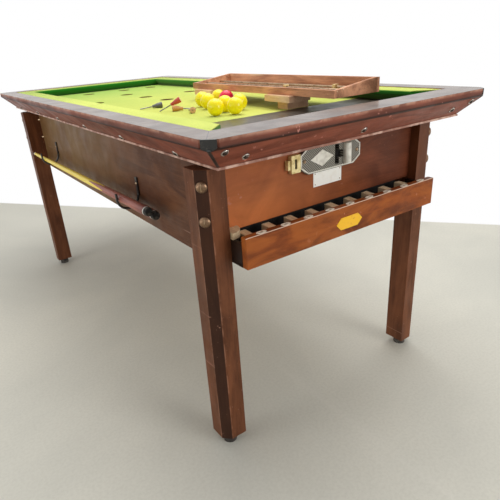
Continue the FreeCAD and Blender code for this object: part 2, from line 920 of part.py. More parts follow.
CUPS = [
    (0, rear_nose - size.row_one),
    (0, rear_nose - size.row_two),
    (-size.wide_spot, rear_nose - size.row_two),
    (size.wide_spot, rear_nose - size.row_two),
    (0, rear_nose - size.row_three),
    (-size.back_inner_spot, rear_nose - size.row_four),
    (size.back_inner_spot, rear_nose - size.row_four),
    (-size.back_outer_spot, rear_nose - size.row_four),
    (size.back_outer_spot, rear_nose - size.row_four),
]
bed_outline = [(-inner_x, baulk_line), (inner_x, baulk_line), (inner_x, inner_rear), (-inner_x, inner_rear)]
bed_holes = [(across, along_bed, liner_radius) for across, along_bed in CUPS]
cloth_holes = [(across, along_bed, size.cup_radius) for across, along_bed in CUPS]
bed_blank = prism("bed_blank", "XY", bed_outline, (ledge_top, bed_top), bed_holes)
node("bed_board", cut("bed_board_body", bed_blank, *rear_bolt_bores))
node("bed_cloth", prism("bed_cloth_body", "XY", bed_outline, (bed_top, cloth_top), cloth_holes))
node(
    "baulk_board",
    block("baulk_board_body", (-inner_x, inner_x), (inner_front, baulk_line), (ledge_top, cloth_top)),
)

liners = []
for number, (across, along_bed) in enumerate(CUPS):
    start = (across, along_bed, bed_top - size.liner_length)
    tube = rod(f"liner_{number}_tube", liner_radius, start, (0, 0, 1), size.liner_length)
    hollow = rod(f"liner_{number}_hollow", size.cup_radius, start, (0, 0, 1), size.liner_length)
    liners.append(cut(f"liner_{number}", tube, hollow))
node("pocket_liners", *liners)


def cushion_profile(rail, into):
    """From the rail's face to the nose; into is +1 or -1 along the axis away from the rail."""
    top = cloth_top + size.cushion_height
    nose = rail + into * size.cushion_width
    return [
        (rail, cloth_top),
        (rail + into * size.cushion_foot, cloth_top),
        (nose - into * size.cushion_undercut, cloth_top + size.cushion_undercut_height),
        (nose, cloth_top + size.cushion_nose_low),
        (nose, cloth_top + size.cushion_nose_high),
        (nose - into * size.cushion_crown, top),
        (rail, top),
    ]


for side, sign in SIDES.items():
    run = prism(
        f"cushion_{side}_run", "XZ", cushion_profile(sign * inner_x, -sign), (inner_front, inner_rear)
    )
    plan = prism(
        f"cushion_{side}_plan",
        "XY",
        [
            (sign * inner_x, inner_front),
            (sign * side_nose, inner_front + size.side_cushion_mitre),
            (sign * side_nose, rear_nose),
            (sign * inner_x, inner_rear),
        ],
        (cloth_top, size.table_height),
    )
    node(f"cushion_{side}", common(f"cushion_{side}_body", run, plan))
rear_run = prism("cushion_rear_run", "YZ", cushion_profile(inner_rear, -1), (-inner_x, inner_x))
rear_plan = prism(
    "cushion_rear_plan",
    "XY",
    [(-inner_x, inner_rear), (inner_x, inner_rear), (side_nose, rear_nose), (-side_nose, rear_nose)],
    (cloth_top, size.table_height),
)
node("cushion_rear", common("cushion_rear_body", rear_run, rear_plan))

# ---------------------------------------------------------------- inside the cabinet

framing = []
for corner, (sign_x, sign_y) in CORNERS.items():
    far_x = panel_inner_x - size.corner_block_leg
    far_y = panel_inner_y - size.corner_block_leg
    outline = [
        (sign_x * panel_inner_x, sign_y * panel_inner_y),
        (sign_x * panel_inner_x, sign_y * far_y),
        (sign_x * far_x, sign_y * panel_inner_y),
    ]
    top = rim_under - size.corner_block_drop
    blank = prism(f"corner_block_{corner}_blank", "XY", outline, (top - size.corner_block_height, top))
    framing.append(cut(f"corner_block_{corner}", blank, *leg_bores[corner]))
BEARERS = (size.front_bearer_reach, size.middle_bearer_reach, size.rear_bearer_reach)
for number, reach in enumerate(BEARERS):
    centre_y = rear_nose - reach
    half = size.bearer_width / 2
    framing.append(
        block(
            f"bed_bearer_{number}",
            (-panel_inner_x, panel_inner_x),
            (centre_y - half, centre_y + half),
            (ledge_top - size.bearer_height, ledge_top),
        )
    )

framing.append(
    block(
        "drawer_shelf",
        (drawer_left - size.drawer_shelf_overhang, panel_inner_x),
        (drawer_near - size.drawer_shelf_thickness, drawer_far + size.drawer_shelf_thickness),
        (shelf_top - size.drawer_shelf_thickness, shelf_top),
    )
)
node("inner_framing", *framing)

back_height = return_front_height + size.return_rise
return_outline = [
    (-panel_inner_y, return_front_height - size.return_thickness),
    (-panel_inner_y, return_front_height),
    (panel_inner_y, back_height),
    (panel_inner_y, back_height - size.return_thickness),
]
node(
    "return_board",
    prism("return_board_body", "YZ", return_outline, (-panel_inner_x, panel_inner_x)),
)

gate_y = keep("gate_y", size.gate_setback - panel_inner_y)
gate_reach = panel_inner_x + size.gate_rod_seat
gate_start = (-gate_reach, gate_y, gate_rod_height)
gate_half = size.gate_bar_thickness / 2
gate_bar = block(
    "gate_bar",
    (size.gate_side_gap - panel_inner_x, panel_inner_x - size.gate_side_gap),
    (gate_y - gate_half, gate_y + gate_half),
    (gate_rod_height - size.gate_bar_drop, gate_rod_height),
)
gate_rod = rod("gate_rod", size.gate_rod_radius, gate_start, (1, 0, 0), gate_reach * 2)
node("ball_gate", fuse("ball_gate_body", gate_bar, gate_rod))
gate_bore = rod(
    "gate_bore",
    size.gate_rod_radius + size.pin_clearance,
    (-gate_reach - size.running_air, gate_y, gate_rod_height),
    (1, 0, 0),
    (gate_reach + size.running_air) * 2,
)

# ---------------------------------------------------------------- coin mechanism

plate_face = keep("plate_face", tray_back - size.coin_plate_thickness)
coin_plate_bottom = keep("coin_plate_bottom", coin_plate_top - size.coin_plate_height)
coin_plate_middle = keep("coin_plate_middle", coin_plate_top - size.coin_plate_height / 2)
left, right = size.coin_plate_left, size.coin_plate_right
clip_x, clip_z = size.coin_plate_clip_x, size.coin_plate_clip_z
plate_outline = [
    (left, coin_plate_bottom + clip_z),
    (left + clip_x, coin_plate_bottom),
    (right - clip_x, coin_plate_bottom),
    (right, coin_plate_bottom + clip_z),
    (right, coin_plate_top - clip_z),
    (right - clip_x, coin_plate_top),
    (left + clip_x, coin_plate_top),
    (left, coin_plate_top - clip_z),
]
coin_plate_blank = prism("coin_plate_blank", "XZ", plate_outline, (plate_face, tray_back))
diamond_x = size.coin_diamond_x
diamond_outline = [
    (diamond_x - size.coin_diamond_half_length, coin_plate_middle),
    (diamond_x, coin_plate_middle - size.coin_diamond_half_height),
    (diamond_x + size.coin_diamond_half_length, coin_plate_middle),
    (diamond_x, coin_plate_middle + size.coin_diamond_half_height),
]
diamond = prism(
    "coin_diamond", "XZ", diamond_outline, (plate_face - size.coin_diamond_thickness, plate_face)
)
guard_front = plate_face - size.coin_guard_standoff
guard_bottom = coin_plate_middle - size.coin_guard_height / 2
guard = rod(
    "coin_guard_nose", size.coin_guard_radius, (size.coin_guard_x, guard_front, guard_bottom), (0, 0, 1),
    size.coin_guard_height,
)
guard_web = block(
    "coin_guard_web",
    (size.coin_guard_x - size.coin_guard_radius, size.coin_guard_x + size.coin_guard_radius),
    (guard_front, plate_face),
    (guard_bottom, guard_bottom + size.coin_guard_height),
)
guard_waste = block(
    "coin_guard_waste",
    (left, right),
    (plate_face, guard_front + size.coin_guard_radius * 2),
    (coin_plate_bottom, coin_plate_top),
)
guard_front_half = cut("coin_guard", fuse("coin_guard_blank", guard, guard_web), guard_waste)

# A coin goes in at an upright slot with a short branch to its right.
slot_left = size.coin_slot_x - size.coin_slot_width / 2
slot_right = size.coin_slot_x + size.coin_slot_width / 2
slot_bottom = coin_plate_middle - size.coin_slot_height / 2
coin_slot = block(
    "coin_slot",
    (slot_left, slot_right),
    (plate_face - size.coin_plate_thickness, size.coin_throat_depth - panel_inner_y),
    (slot_bottom, slot_bottom + size.coin_slot_height),
)
branch_bottom = coin_plate_middle - size.coin_slot_branch_height / 2
coin_branch = block(
    "coin_slot_branch",
    (slot_right, slot_right + size.coin_slot_branch_width),
    (plate_face - size.coin_plate_thickness, tray_back),
    (branch_bottom, branch_bottom + size.coin_slot_branch_height),
)

# The slide's tongue runs in a channel across the plate's back.
tongue_half = size.slide_tongue_height / 2
channel = block(
    "slide_channel",
    (left, left + size.slide_tongue_length + size.slide_air * 2),
    (tray_back - size.slide_tongue_thickness - size.slide_air * 2, tray_back),
    (coin_plate_middle - tongue_half - size.slide_air, coin_plate_middle + tongue_half + size.slide_air),
)

PLATE_SCREWS = {
    "left": size.coin_plate_left + size.coin_screw_inset,
    "right": size.coin_plate_right - size.coin_screw_inset,
}
# The left screw stops short of the channel behind it.
PLATE_SCREW_LENGTHS = {
    "left": size.coin_plate_thickness / 2 - size.slide_air * 2,
    "right": size.plate_screw_length,
}
small_screws = []
plate_bores = []
for side, across in PLATE_SCREWS.items():
    start = (across, plate_face, coin_plate_middle)
    head = (size.plate_screw_head_radius, size.plate_screw_head_height)
    length = PLATE_SCREW_LENGTHS[side]
    shank = (size.plate_screw_radius, length)
    small_screws.append(screw(f"plate_screw_{side}", start, (0, 1, 0), head, shank))
    plate_bores.append(rod(f"plate_screw_{side}_bore", size.plate_screw_radius, start, (0, 1, 0), length))

node(
    "coin_plate",
    cut(
        "coin_plate_body",
        fuse("coin_plate_solid", coin_plate_blank, diamond, guard_front_half),
        coin_slot,
        coin_branch,
        channel,
        *plate_bores,
    ),
)

slide_right = size.coin_plate_left - size.slide_block_gap
slide_left = slide_right - size.slide_block_width
slide_back = tray_back - size.slide_air
slide_front = slide_back - size.slide_block_thickness
slide_half = size.slide_block_height / 2
slide_block = block(
    "slide_block",
    (slide_left, slide_right),
    (slide_front, slide_back),
    (coin_plate_middle - slide_half, coin_plate_middle + slide_half),
)
slide_tongue = block(
    "slide_tongue",
    (slide_right, slide_right + size.slide_tongue_length),
    (slide_back - size.slide_tongue_thickness, slide_back),
    (coin_plate_middle - tongue_half, coin_plate_middle + tongue_half),
)
slide_neck = block(
    "slide_neck",
    (slide_left - size.slide_neck_length, slide_left),
    (slide_back - size.slide_tongue_thickness, slide_back),
    (coin_plate_middle - size.slide_neck_height / 2, coin_plate_middle + size.slide_neck_height / 2),
)
slide_knob = block(
    "slide_knob",
    (slide_left - size.slide_neck_length - size.slide_knob_width, slide_left - size.slide_neck_length),
    (slide_front, slide_back),
    (coin_plate_middle - size.slide_knob_height / 2, coin_plate_middle + size.slide_knob_height / 2),
)
slide_middle = (slide_left + slide_right) / 2
slide_slot = block(
    "slide_slot",
    (slide_middle - size.slide_slot_width / 2, slide_middle + size.slide_slot_width / 2),
    (slide_front, slide_front + size.slide_block_thickness / 2),
    (coin_plate_middle - size.slide_slot_height / 2, coin_plate_middle + size.slide_slot_height / 2),
)
node(
    "coin_slide",
    cut(
        "coin_slide_body",
        fuse("coin_slide_solid", slide_block, slide_tongue, slide_neck, slide_knob),
        slide_slot,
    ),
)

notice_top = keep("notice_top", coin_plate_bottom - size.notice_gap)
notice_bottom = keep("notice_bottom", notice_top - size.notice_height)
notice_right = size.notice_left + size.notice_width
notice_face = tray_back - size.notice_thickness
notice_blank = block(
    "notice_blank",
    (size.notice_left, notice_right),
    (notice_face, tray_back),
    (notice_bottom, notice_top),
)
notice_bores = []
inset = size.notice_pin_inset
for across in (size.notice_left + inset, notice_right - inset):
    for height in (notice_bottom + inset, notice_top - inset):
        number = len(notice_bores)
        start = (across, notice_face, height)
        head = (size.pin_head_radius, size.pin_head_height)
        small_screws.append(
            screw(f"notice_pin_{number}", start, (0, 1, 0), head, (size.pin_radius, size.pin_length))
        )
        notice_bores.append(
            rod(f"notice_bore_{number}", size.pin_radius, start, (0, 1, 0), size.pin_length)
        )
node("instruction_plate", cut("instruction_plate_body", notice_blank, *notice_bores))

head_box = block(
    "coin_head_box",
    (size.coin_slot_x - size.coin_head_width / 2, size.coin_slot_x + size.coin_head_width / 2),
    (-panel_inner_y, head_back),
    (head_bottom, head_top),
)
chute_left = drawer_left + size.chute_gap
chute = block(
    "coin_chute",
    (chute_left, chute_left + size.chute_width),
    (head_back, drawer_near + size.drawer_width / 2),
    (head_bottom, head_bottom + size.chute_height),
)
node("coin_head", cut("coin_head_body", fuse("coin_head_solid", head_box, chute), coin_slot))

# ---------------------------------------------------------------- cash drawer

drawer_outside = block(
    "drawer_outside", (drawer_left, drawer_right), (drawer_near, drawer_far), (drawer_bottom, drawer_top)
)
drawer_inside = block(
    "drawer_inside",
    (drawer_left + size.drawer_wall, drawer_right - size.drawer_wall),
    (drawer_near + size.drawer_wall, drawer_far - size.drawer_wall),
    (drawer_bottom + size.drawer_wall, drawer_top),
)
drawer_plate = block(
    "drawer_plate",
    (drawer_right, drawer_right + size.drawer_plate_thickness),
    (drawer_near - size.drawer_plate_overlap, drawer_far + size.drawer_plate_overlap),
    (drawer_bottom - size.drawer_plate_overlap, drawer_top + size.drawer_plate_overlap),
)
lock_start = (
    drawer_right - size.drawer_wall - size.lock_length,
    (drawer_near + drawer_far) / 2,
    drawer_bottom + size.drawer_height / 2,
)
lock_span = size.lock_length + size.drawer_wall + size.drawer_plate_thickness
lock_hole = rod("lock_hole", size.lock_radius + size.pin_clearance, lock_start, (1, 0, 0), lock_span)
lock_barrel = rod("lock_barrel", size.lock_radius, lock_start, (1, 0, 0), lock_span + size.lock_proud)
node(
    "cash_drawer",
    cut(
        "cash_drawer_body",
        fuse("cash_drawer_solid", cut("drawer_tray", drawer_outside, drawer_inside), drawer_plate),
        lock_hole,
    ),
)
keyway = block(
    "lock_keyway",
    (drawer_right + size.drawer_plate_thickness, drawer_right + lock_span + size.lock_proud),
    (lock_start[1] - size.keyway_width / 2, lock_start[1] + size.keyway_width / 2),
    (lock_start[2] - size.lock_radius / 2, lock_start[2] + size.lock_radius / 2),
)
node("cash_lock", cut("cash_lock_body", lock_barrel, keyway))
drawer_opening = block(
    "drawer_opening",
    (panel_inner_x, panel_outer_x),
    (drawer_near - size.drawer_air, drawer_far + size.drawer_air),
    (drawer_bottom - size.running_air, drawer_top + size.drawer_air),
)

# ---------------------------------------------------------------- cue hooks and cues

HOOK_ROWS = {"front": size.hook_front_y, "rear": size.hook_rear_y}
hooks = []
hook_bores = []
for place, hook_y in HOOK_ROWS.items():
    bow = doc.addObject("Part::Torus", f"hook_{place}_bow")
    bind(bow, "Radius1", size.hook_radius)
    bind(bow, "Radius2", size.hook_wire_radius)
    bow.Angle3 = 180
    # The half ring hangs below its centre, in the plane across the table.
    bow.Placement.Rotation = Rotation(Vector(-1, 0, 0), Vector(0, 0, -1), Vector(0, -1, 0), "ZYX")
    for axis, amount in zip("xyz", (hook_x, hook_y, hook_centre_height)):
        bind(bow, f"Placement.Base.{axis}", amount)
    tip_start = (hook_x - size.hook_radius, hook_y, hook_centre_height)
    tip = rod(f"hook_{place}_tip", size.hook_wire_radius, tip_start, (0, 0, 1), size.hook_tip_rise)
    plate = block(
        f"hook_{place}_shank",
        (-panel_outer_x - size.hook_shank_thickness, -panel_outer_x),
        (hook_y - size.hook_shank_width / 2, hook_y + size.hook_shank_width / 2),
        (hook_centre_height, hook_centre_height + size.hook_shank_height),
    )
    start = (
        -panel_outer_x - size.hook_shank_thickness,
        hook_y,
        hook_centre_height + size.hook_screw_rise,
    )
    length = size.plate_screw_length - size.hook_shank_thickness
    bore = rod(f"hook_{place}_bore", size.plate_screw_radius, start, (1, 0, 0), length)
    head = (size.plate_screw_head_radius, size.plate_screw_head_height)
    shank = (size.plate_screw_radius, length)
    small_screws.append(screw(f"hook_screw_{place}", start, (1, 0, 0), head, shank))
    hook_bores.append(bore)
    hooks.append(cut(f"hook_{place}", fuse(f"hook_{place}_solid", bow, tip, plate), bore))
node("cue_hooks", *hooks)
node("small_screws", *small_screws)

# Each cue's centre line, as sideways and height offsets from the hooks' centres beside each hook,
# and how far the butt's end stands out beyond the first of those places.
CUE_LINES = {
    "cue_1": {"front": (-17.4, -0.5), "rear": (-20.8, -10.6), "overhang": 200},
    "cue_2": {"front": (3.0, -17.1), "rear": (-9.8, -21.1), "overhang": 193},
}


def beside_hook(offsets, hook_y, stand):
    across, rise = offsets
    place = (hook_x + across, hook_y + stand, hook_centre_height + rise)
    return Vector(*map(number_of, place))


for name, line in CUE_LINES.items():
    front = beside_hook(line["front"], size.hook_front_y, size.cue_front_stand)
    rear = beside_hook(line["rear"], size.hook_rear_y, size.cue_rear_stand)
    heading = (rear - front).normalize()
    butt = front - heading * line["overhang"]
    radius, rounding = size.cue_bumper_radius, size.cue_bumper_rounding
    bumper_profile = [
        (0, 0),
        (radius - rounding, 0),
        (radius, rounding),
        (radius, size.cue_bumper_length),
        (0, size.cue_bumper_length),
    ]
    bumper = turned(f"{name}_bumper", bumper_profile, tuple(butt), tuple(heading))
    ring_start = butt + heading * number_of(size.cue_bumper_length)
    ring_piece = rod(f"{name}_ring", radius, tuple(ring_start), tuple(heading), size.cue_ring_length)
    stick = doc.addObject("Part::Cone", f"{name}_stick")
    bind(stick, "Radius1", size.cue_butt_radius)
    bind(stick, "Radius2", size.cue_tip_radius)
    bind(stick, "Height", size.cue_length - size.cue_ring_length)
    aim(stick, tuple(ring_start + heading * number_of(size.cue_ring_length)), tuple(heading))
    node(name, bumper, ring_piece, stick)

# ---------------------------------------------------------------- cabinet panels

for side, sign in SIDES.items():
    blank = block(
        f"side_panel_{side}_blank",
        tuple(sorted((sign * panel_inner_x, sign * panel_outer_x), key=number_of)),
        (-panel_inner_y, panel_inner_y),
        (side_panel_bottom, rim_under),
    )
    bores = leg_bores[f"front_{side}"] + leg_bores[f"rear_{side}"]
    openings = [gate_bore] + (hook_bores if side == "left" else [drawer_opening])
    node(f"side_panel_{side}", cut(f"side_panel_{side}_body", blank, *bores, *openings))
front_blank = block(
    "end_panel_front_blank",
    (-panel_outer_x, panel_outer_x),
    (-panel_outer_y, -panel_inner_y),
    (end_panel_bottom, rim_under),
)
node(
    "end_panel_front",
    cut("end_panel_front_body", front_blank, coin_slot, *plate_bores, *notice_bores),
)
node(
    "end_panel_rear",
    block(
        "end_panel_rear_body",
        (-panel_outer_x, panel_outer_x),
        (panel_inner_y, panel_outer_y),
        (end_panel_bottom, rim_under),
    ),
)

# ---------------------------------------------------------------- ball tray

tray_board_face = tray_front - size.tray_board_thickness
tray_reach = panel_outer_x - size.tray_board_gap
node(
    "tray_front",
    block(
        "tray_front_body",
        (-tray_reach, tray_reach),
        (tray_board_face, tray_front),
        (tray_board_bottom, tray_board_top),
    ),
)
floor = block(
    "tray_floor_board",
    (-panel_outer_x, panel_outer_x),
    (tray_front, -panel_inner_y),
    (tray_board_bottom, tray_floor_top),
)
tray_ends = [
    block(
        f"tray_end_{side}",
        tuple(
            sorted((sign * panel_outer_x, sign * (panel_outer_x - size.tray_end_thickness)), key=number_of)
        ),
        (tray_front, tray_back),
        (tray_floor_top, tray_floor_top + size.tray_end_height),
    )
    for side, sign in SIDES.items()
]
node("tray_floor", floor, *tray_ends)

tray_middle = tray_back - size.tray_depth / 2
divider_outline = [
    (tray_front, tray_floor_top),
    (tray_back, tray_floor_top),
    (tray_back, tray_floor_top + size.divider_back_height),
    (tray_middle, tray_floor_top + size.divider_middle_height),
    (tray_front, tray_floor_top + size.divider_front_height),
]
first_divider = panel_outer_x - size.tray_end_thickness - size.tray_end_gap - size.divider_width / 2
divider_pitch = keep("divider_pitch", first_divider * 2 / (size.divider_count - 1))
tag_y = tray_front - size.tray_board_thickness / 2
dividers = []
tags = []
for number in range(SIZES["divider_count"]):
    centre_x = number * divider_pitch - first_divider
    half = size.divider_width / 2
    dividers.append(prism(f"divider_{number}", "YZ", divider_outline, (centre_x - half, centre_x + half)))
    for part_name, length, width in (
        ("tag", size.tag_length, size.tag_width),
        ("tag_window", size.tag_window_length, size.tag_window_width),
    ):
        oval = doc.addObject("Part::Ellipse", f"{part_name}_{number}_outline")
        bind(oval, "MajorRadius", length / 2)
        bind(oval, "MinorRadius", width / 2)
        for axis, amount in zip("xyz", (centre_x, tag_y, tray_board_top)):
            bind(oval, f"Placement.Base.{axis}", amount)
        raised = doc.addObject("Part::Extrusion", f"{part_name}_{number}_raised")
        raised.Base = oval
        raised.Dir = Vector(0, 0, 1)
        raised.DirMode = "Custom"
        raised.Solid = True
        bind(raised, "LengthFwd", size.tag_thickness)
        tags.append(raised)
block_corner = (size.tray_block_gap - panel_outer_x, tray_back, tray_floor_top + size.tray_end_height)
tray_block = doc.addObject("Part::Cylinder", "tray_block")
bind(tray_block, "Radius", size.tray_block_radius)
bind(tray_block, "Height", size.tray_block_thickness)
tray_block.Angle = 90
tray_block.Placement.Rotation = Rotation(Vector(0, 0, 1), -90)
for axis, amount in zip("xyz", block_corner):
    bind(tray_block, f"Placement.Base.{axis}", amount)
node("tray_dividers", *dividers, tray_block)

tag_plates = [cut(f"tag_{number}", *pair) for number, pair in enumerate(zip(tags[::2], tags[1::2]))]
badge_z = tray_board_bottom + size.badge_rise
badge_half, badge_rise = size.badge_length / 2, size.badge_height / 2
badge_outline = [
    (size.badge_x - badge_half, badge_z),
    (size.badge_x - badge_half + size.badge_point, badge_z - badge_rise),
    (size.badge_x + badge_half - size.badge_point, badge_z - badge_rise),
    (size.badge_x + badge_half, badge_z),
    (size.badge_x + badge_half - size.badge_point, badge_z + badge_rise),
    (size.badge_x - badge_half + size.badge_point, badge_z + badge_rise),
]
badge = prism("tray_badge", "XZ", badge_outline, (tray_board_face - size.badge_thickness, tray_board_face))
node("tray_plates", *tag_plates, badge)

# ---------------------------------------------------------------- balls and skittles

# Resting places on the cloth, in ball diameters: sideways from the centre, and beyond the baulk line.
YELLOW_BALLS = [
    (-2.86, 1.96),
    (-1.86, 1.38),
    (-0.57, 2.77),
    (-1.62, 2.83),
    (-0.98, 6.62),
    (-1.43, 5.16),
    (0.41, 6.74),
]
RED_BALL = (0.33, 5.62)
ball_height = keep("ball_height", cloth_top + size.lying_gap + size.ball_diameter / 2)


def on_cloth(spot, height):
    across, beyond = spot
    return (across * size.ball_diameter, baulk_line + beyond * size.ball_diameter, height)


def ball(name, spot):
    sphere = doc.addObject("Part::Sphere", f"{name}_body")
    bind(sphere, "Radius", size.ball_diameter / 2)
    aim(sphere, on_cloth(spot, ball_height))
    node(name, sphere)


for number, spot in enumerate(YELLOW_BALLS, start=1):
    ball(f"yellow_ball_{number}", spot)
ball("red_ball", RED_BALL)

# A skittle is a tapered peg on a steel pin.  Three lie with the face's rim and the pin's end on the
# cloth; the second leans on the third, and its lift is how far its face is raised by that.
skittle_lean = math.atan2(
    number_of(size.skittle_radius - size.skittle_pin_radius), number_of(size.skittle_length)
)
pin_end_height = size.lying_gap + size.skittle_pin_radius * math.cos(skittle_lean)
SKITTLES = {
    "skittle_1": {"face": (-2.72, 9.36), "turn": 162.8, "lift": 0},
    "skittle_2": {"face": (-2.78, 6.43), "turn": 149.6, "lift": 25.0},
    "skittle_3": {"face": (-3.38, 6.54), "turn": -19.9, "lift": 0},
    "skittle_4": {"face": (-3.07, 4.35), "turn": 70.4, "lift": 0},
}
skittle_profile = [
    (0, 0),
    (size.skittle_radius, 0),
    (size.skittle_middle_radius, size.skittle_middle),
    (size.skittle_neck_radius, size.skittle_neck),
    (size.skittle_neck_radius, size.skittle_body_length),
    (size.skittle_pin_radius, size.skittle_body_length),
    (size.skittle_pin_radius, size.skittle_length),
    (0, size.skittle_length),
]
for name, lying in SKITTLES.items():
    lean = skittle_lean + math.asin(lying["lift"] / number_of(size.skittle_length))
    across, forward = (math.cos(math.radians(lying["turn"])), math.sin(math.radians(lying["turn"])))
    heading = (across * math.cos(lean), forward * math.cos(lean), -math.sin(lean))
    face_height = cloth_top + pin_end_height + size.skittle_length * math.sin(lean)
    start = on_cloth(lying["face"], face_height)
    node(name, turned(f"{name}_body", skittle_profile, start, heading))

# ---------------------------------------------------------------- scoreboard

board_bottom = keep(
    "board_bottom", cloth_top + size.lying_gap + size.board_foot_riser + size.board_foot_plank
)
near_left, near_right = size.board_near_x, size.board_near_x + size.board_wood
far_right = size.board_near_x + size.board_width
far_left = far_right - size.board_wood
board_front = keep("board_front", inner_front + size.board_front_gap)
board_rear = keep("board_rear", board_front + size.board_length)
near_top, far_top = board_bottom + size.board_near_height, board_bottom + size.board_far_height
rod_z = board_bottom + size.rod_rise
RODS = {
    "near": size.board_near_x + size.near_rod_offset,
    "far": size.board_near_x + size.far_rod_offset,
}
rods = []
rod_holes = []
for place, across in RODS.items():
    start = (across, board_front + size.board_wood - size.rod_seat, rod_z)
    length = size.board_length - (size.board_wood - size.rod_seat) * 2
    rods.append(rod(f"{place}_rod", size.rod_radius, start, (0, 1, 0), length))
    rod_holes.append(rod(f"{place}_rod_hole", size.rod_radius, start, (0, 1, 0), length))
rails = [
    block("board_near_rail", (near_left, near_right), (board_front, board_rear), (board_bottom, near_top)),
    block("board_far_rail", (far_left, far_right), (board_front, board_rear), (board_bottom, far_top)),
]
end_outline = [
    (near_right, board_bottom),
    (far_left, board_bottom),
    (far_left, far_top),
    (near_right, near_top),
]
BOARD_ENDS = {
    "front": (board_front, board_front + size.board_wood),
    "rear": (board_rear - size.board_wood, board_rear),
}
for place, span in BOARD_ENDS.items():
    end_blank = prism(f"board_{place}_end_blank", "XZ", end_outline, span)
    rails.append(cut(f"board_{place}_end", end_blank, *rod_holes))
node("scoreboard_frame", *rails)

inside = (board_front + size.board_wood, board_rear - size.board_wood)
back_top = board_bottom + size.board_back_thickness
scale_heights = (back_top, back_top + size.scale_thickness)
scales = [block("board_back", (near_right, far_left), inside, (board_bottom, back_top))]
for place, across in RODS.items():
    half = size.scale_width / 2
    scales.append(block(f"{place}_scale", (across - half, across + half), inside, scale_heights))
node("scoreboard_scales", *scales)
node("scoreboard_rods", *rods)

# Each foot is a T: a plank under the frame, and a riser under the plank.
plank_bottom = board_bottom - size.board_foot_plank
plank_left = size.board_near_x - size.board_foot_overhang
riser_left = plank_left + size.board_foot_riser_shift
plank_span, riser_span = [(start, start + size.board_foot_length) for start in (plank_left, riser_left)]
feet = []
for place, offset in (("front", size.front_foot_offset), ("rear", size.rear_foot_offset)):
    foot_y = board_front + offset
    centre_y = foot_y + size.board_foot_width / 2
    riser_half = size.board_foot_riser_width / 2
    plank_depth = (foot_y, foot_y + size.board_foot_width)
    riser_depth = (centre_y - riser_half, centre_y + riser_half)
    riser_heights = (plank_bottom - size.board_foot_riser, plank_bottom)
    feet.append(block(f"{place}_foot_plank", plank_span, plank_depth, (plank_bottom, board_bottom)))
    feet.append(block(f"{place}_foot_riser", riser_span, riser_depth, riser_heights))
node("scoreboard_feet", *feet)

POINTER_OFFSETS = {"near": size.near_pointer_offset, "far": size.far_pointer_offset}
for number, (place, offset) in enumerate(POINTER_OFFSETS.items(), start=1):
    across, pointer_y = RODS[place], board_front + offset
    pointer_blank = block(
        f"pointer_{number}_blank",
        (across - size.pointer_width / 2, across + size.pointer_width / 2),
        (pointer_y, pointer_y + size.pointer_length),
        (rod_z - size.pointer_height / 2, rod_z + size.pointer_height / 2),
    )
    pointer_bore = rod(
        f"pointer_{number}_bore",
        size.rod_radius + size.pin_clearance,
        (across, pointer_y, rod_z),
        (0, 1, 0),
        size.pointer_length,
    )
    node(f"pointer_{number}", cut(f"pointer_{number}_body", pointer_blank, pointer_bore))

# ---------------------------------------------------------------- check and write

doc.recompute()
failed = [piece.Name for piece in doc.Objects if {"Invalid", "Error"} & set(piece.State)]
if failed:
    raise SystemExit(f"these objects did not compute: {failed}")
for name, piece in nodes.items():
    if piece.Shape.isNull() or not piece.Shape.isValid() or not piece.Shape.Solids:
        raise SystemExit(f"{name} has no valid solid")
os.makedirs("parts", exist_ok=True)
for name, piece in nodes.items():
    piece.Shape.exportStep(f"parts/{name}.step")
    print(name, len(piece.Shape.Solids), round(piece.Shape.Volume))
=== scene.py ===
"""The looks of a bar billiards table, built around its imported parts.

Metres, in the parts' own frame: the player's end is at -Y, the far end at +Y, Z is up and the
floor is at Z = 0.  Each material and each modelled piece has a function of its own.
"""

import math

import bmesh
import bpy
import numpy as np
from mathutils import Matrix, Vector


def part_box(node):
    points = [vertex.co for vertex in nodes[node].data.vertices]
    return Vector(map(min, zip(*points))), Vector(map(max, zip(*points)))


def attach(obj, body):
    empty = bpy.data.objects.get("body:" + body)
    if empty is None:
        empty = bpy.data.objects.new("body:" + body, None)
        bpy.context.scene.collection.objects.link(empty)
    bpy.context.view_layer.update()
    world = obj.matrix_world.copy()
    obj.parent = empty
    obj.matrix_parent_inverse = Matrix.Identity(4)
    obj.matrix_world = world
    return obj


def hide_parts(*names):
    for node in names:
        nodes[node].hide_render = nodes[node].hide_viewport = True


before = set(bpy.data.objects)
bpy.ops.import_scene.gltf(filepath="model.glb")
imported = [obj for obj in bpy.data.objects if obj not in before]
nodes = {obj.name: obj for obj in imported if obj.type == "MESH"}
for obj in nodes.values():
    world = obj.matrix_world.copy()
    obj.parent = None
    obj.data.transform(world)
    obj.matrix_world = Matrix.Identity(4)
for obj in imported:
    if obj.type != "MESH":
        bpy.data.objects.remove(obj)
for left_over in ("Cube", "Light", "Camera"):
    if left_over in bpy.data.objects:
        bpy.data.objects.remove(bpy.data.objects[left_over])
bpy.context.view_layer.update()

MM = 0.001
LEG_CHAMFER = 20 * MM

# ---------- A builder for materials

SURFACE = {
    "colour": "Base Color",
    "metal": "Metallic",
    "rough": "Roughness",
    "specular": "Specular IOR Level",
    "coat": "Coat Weight",
    "coat_rough": "Coat Roughness",
    "sheen": "Sheen Weight",
    "sheen_rough": "Sheen Roughness",
    "sheen_tint": "Sheen Tint",
}


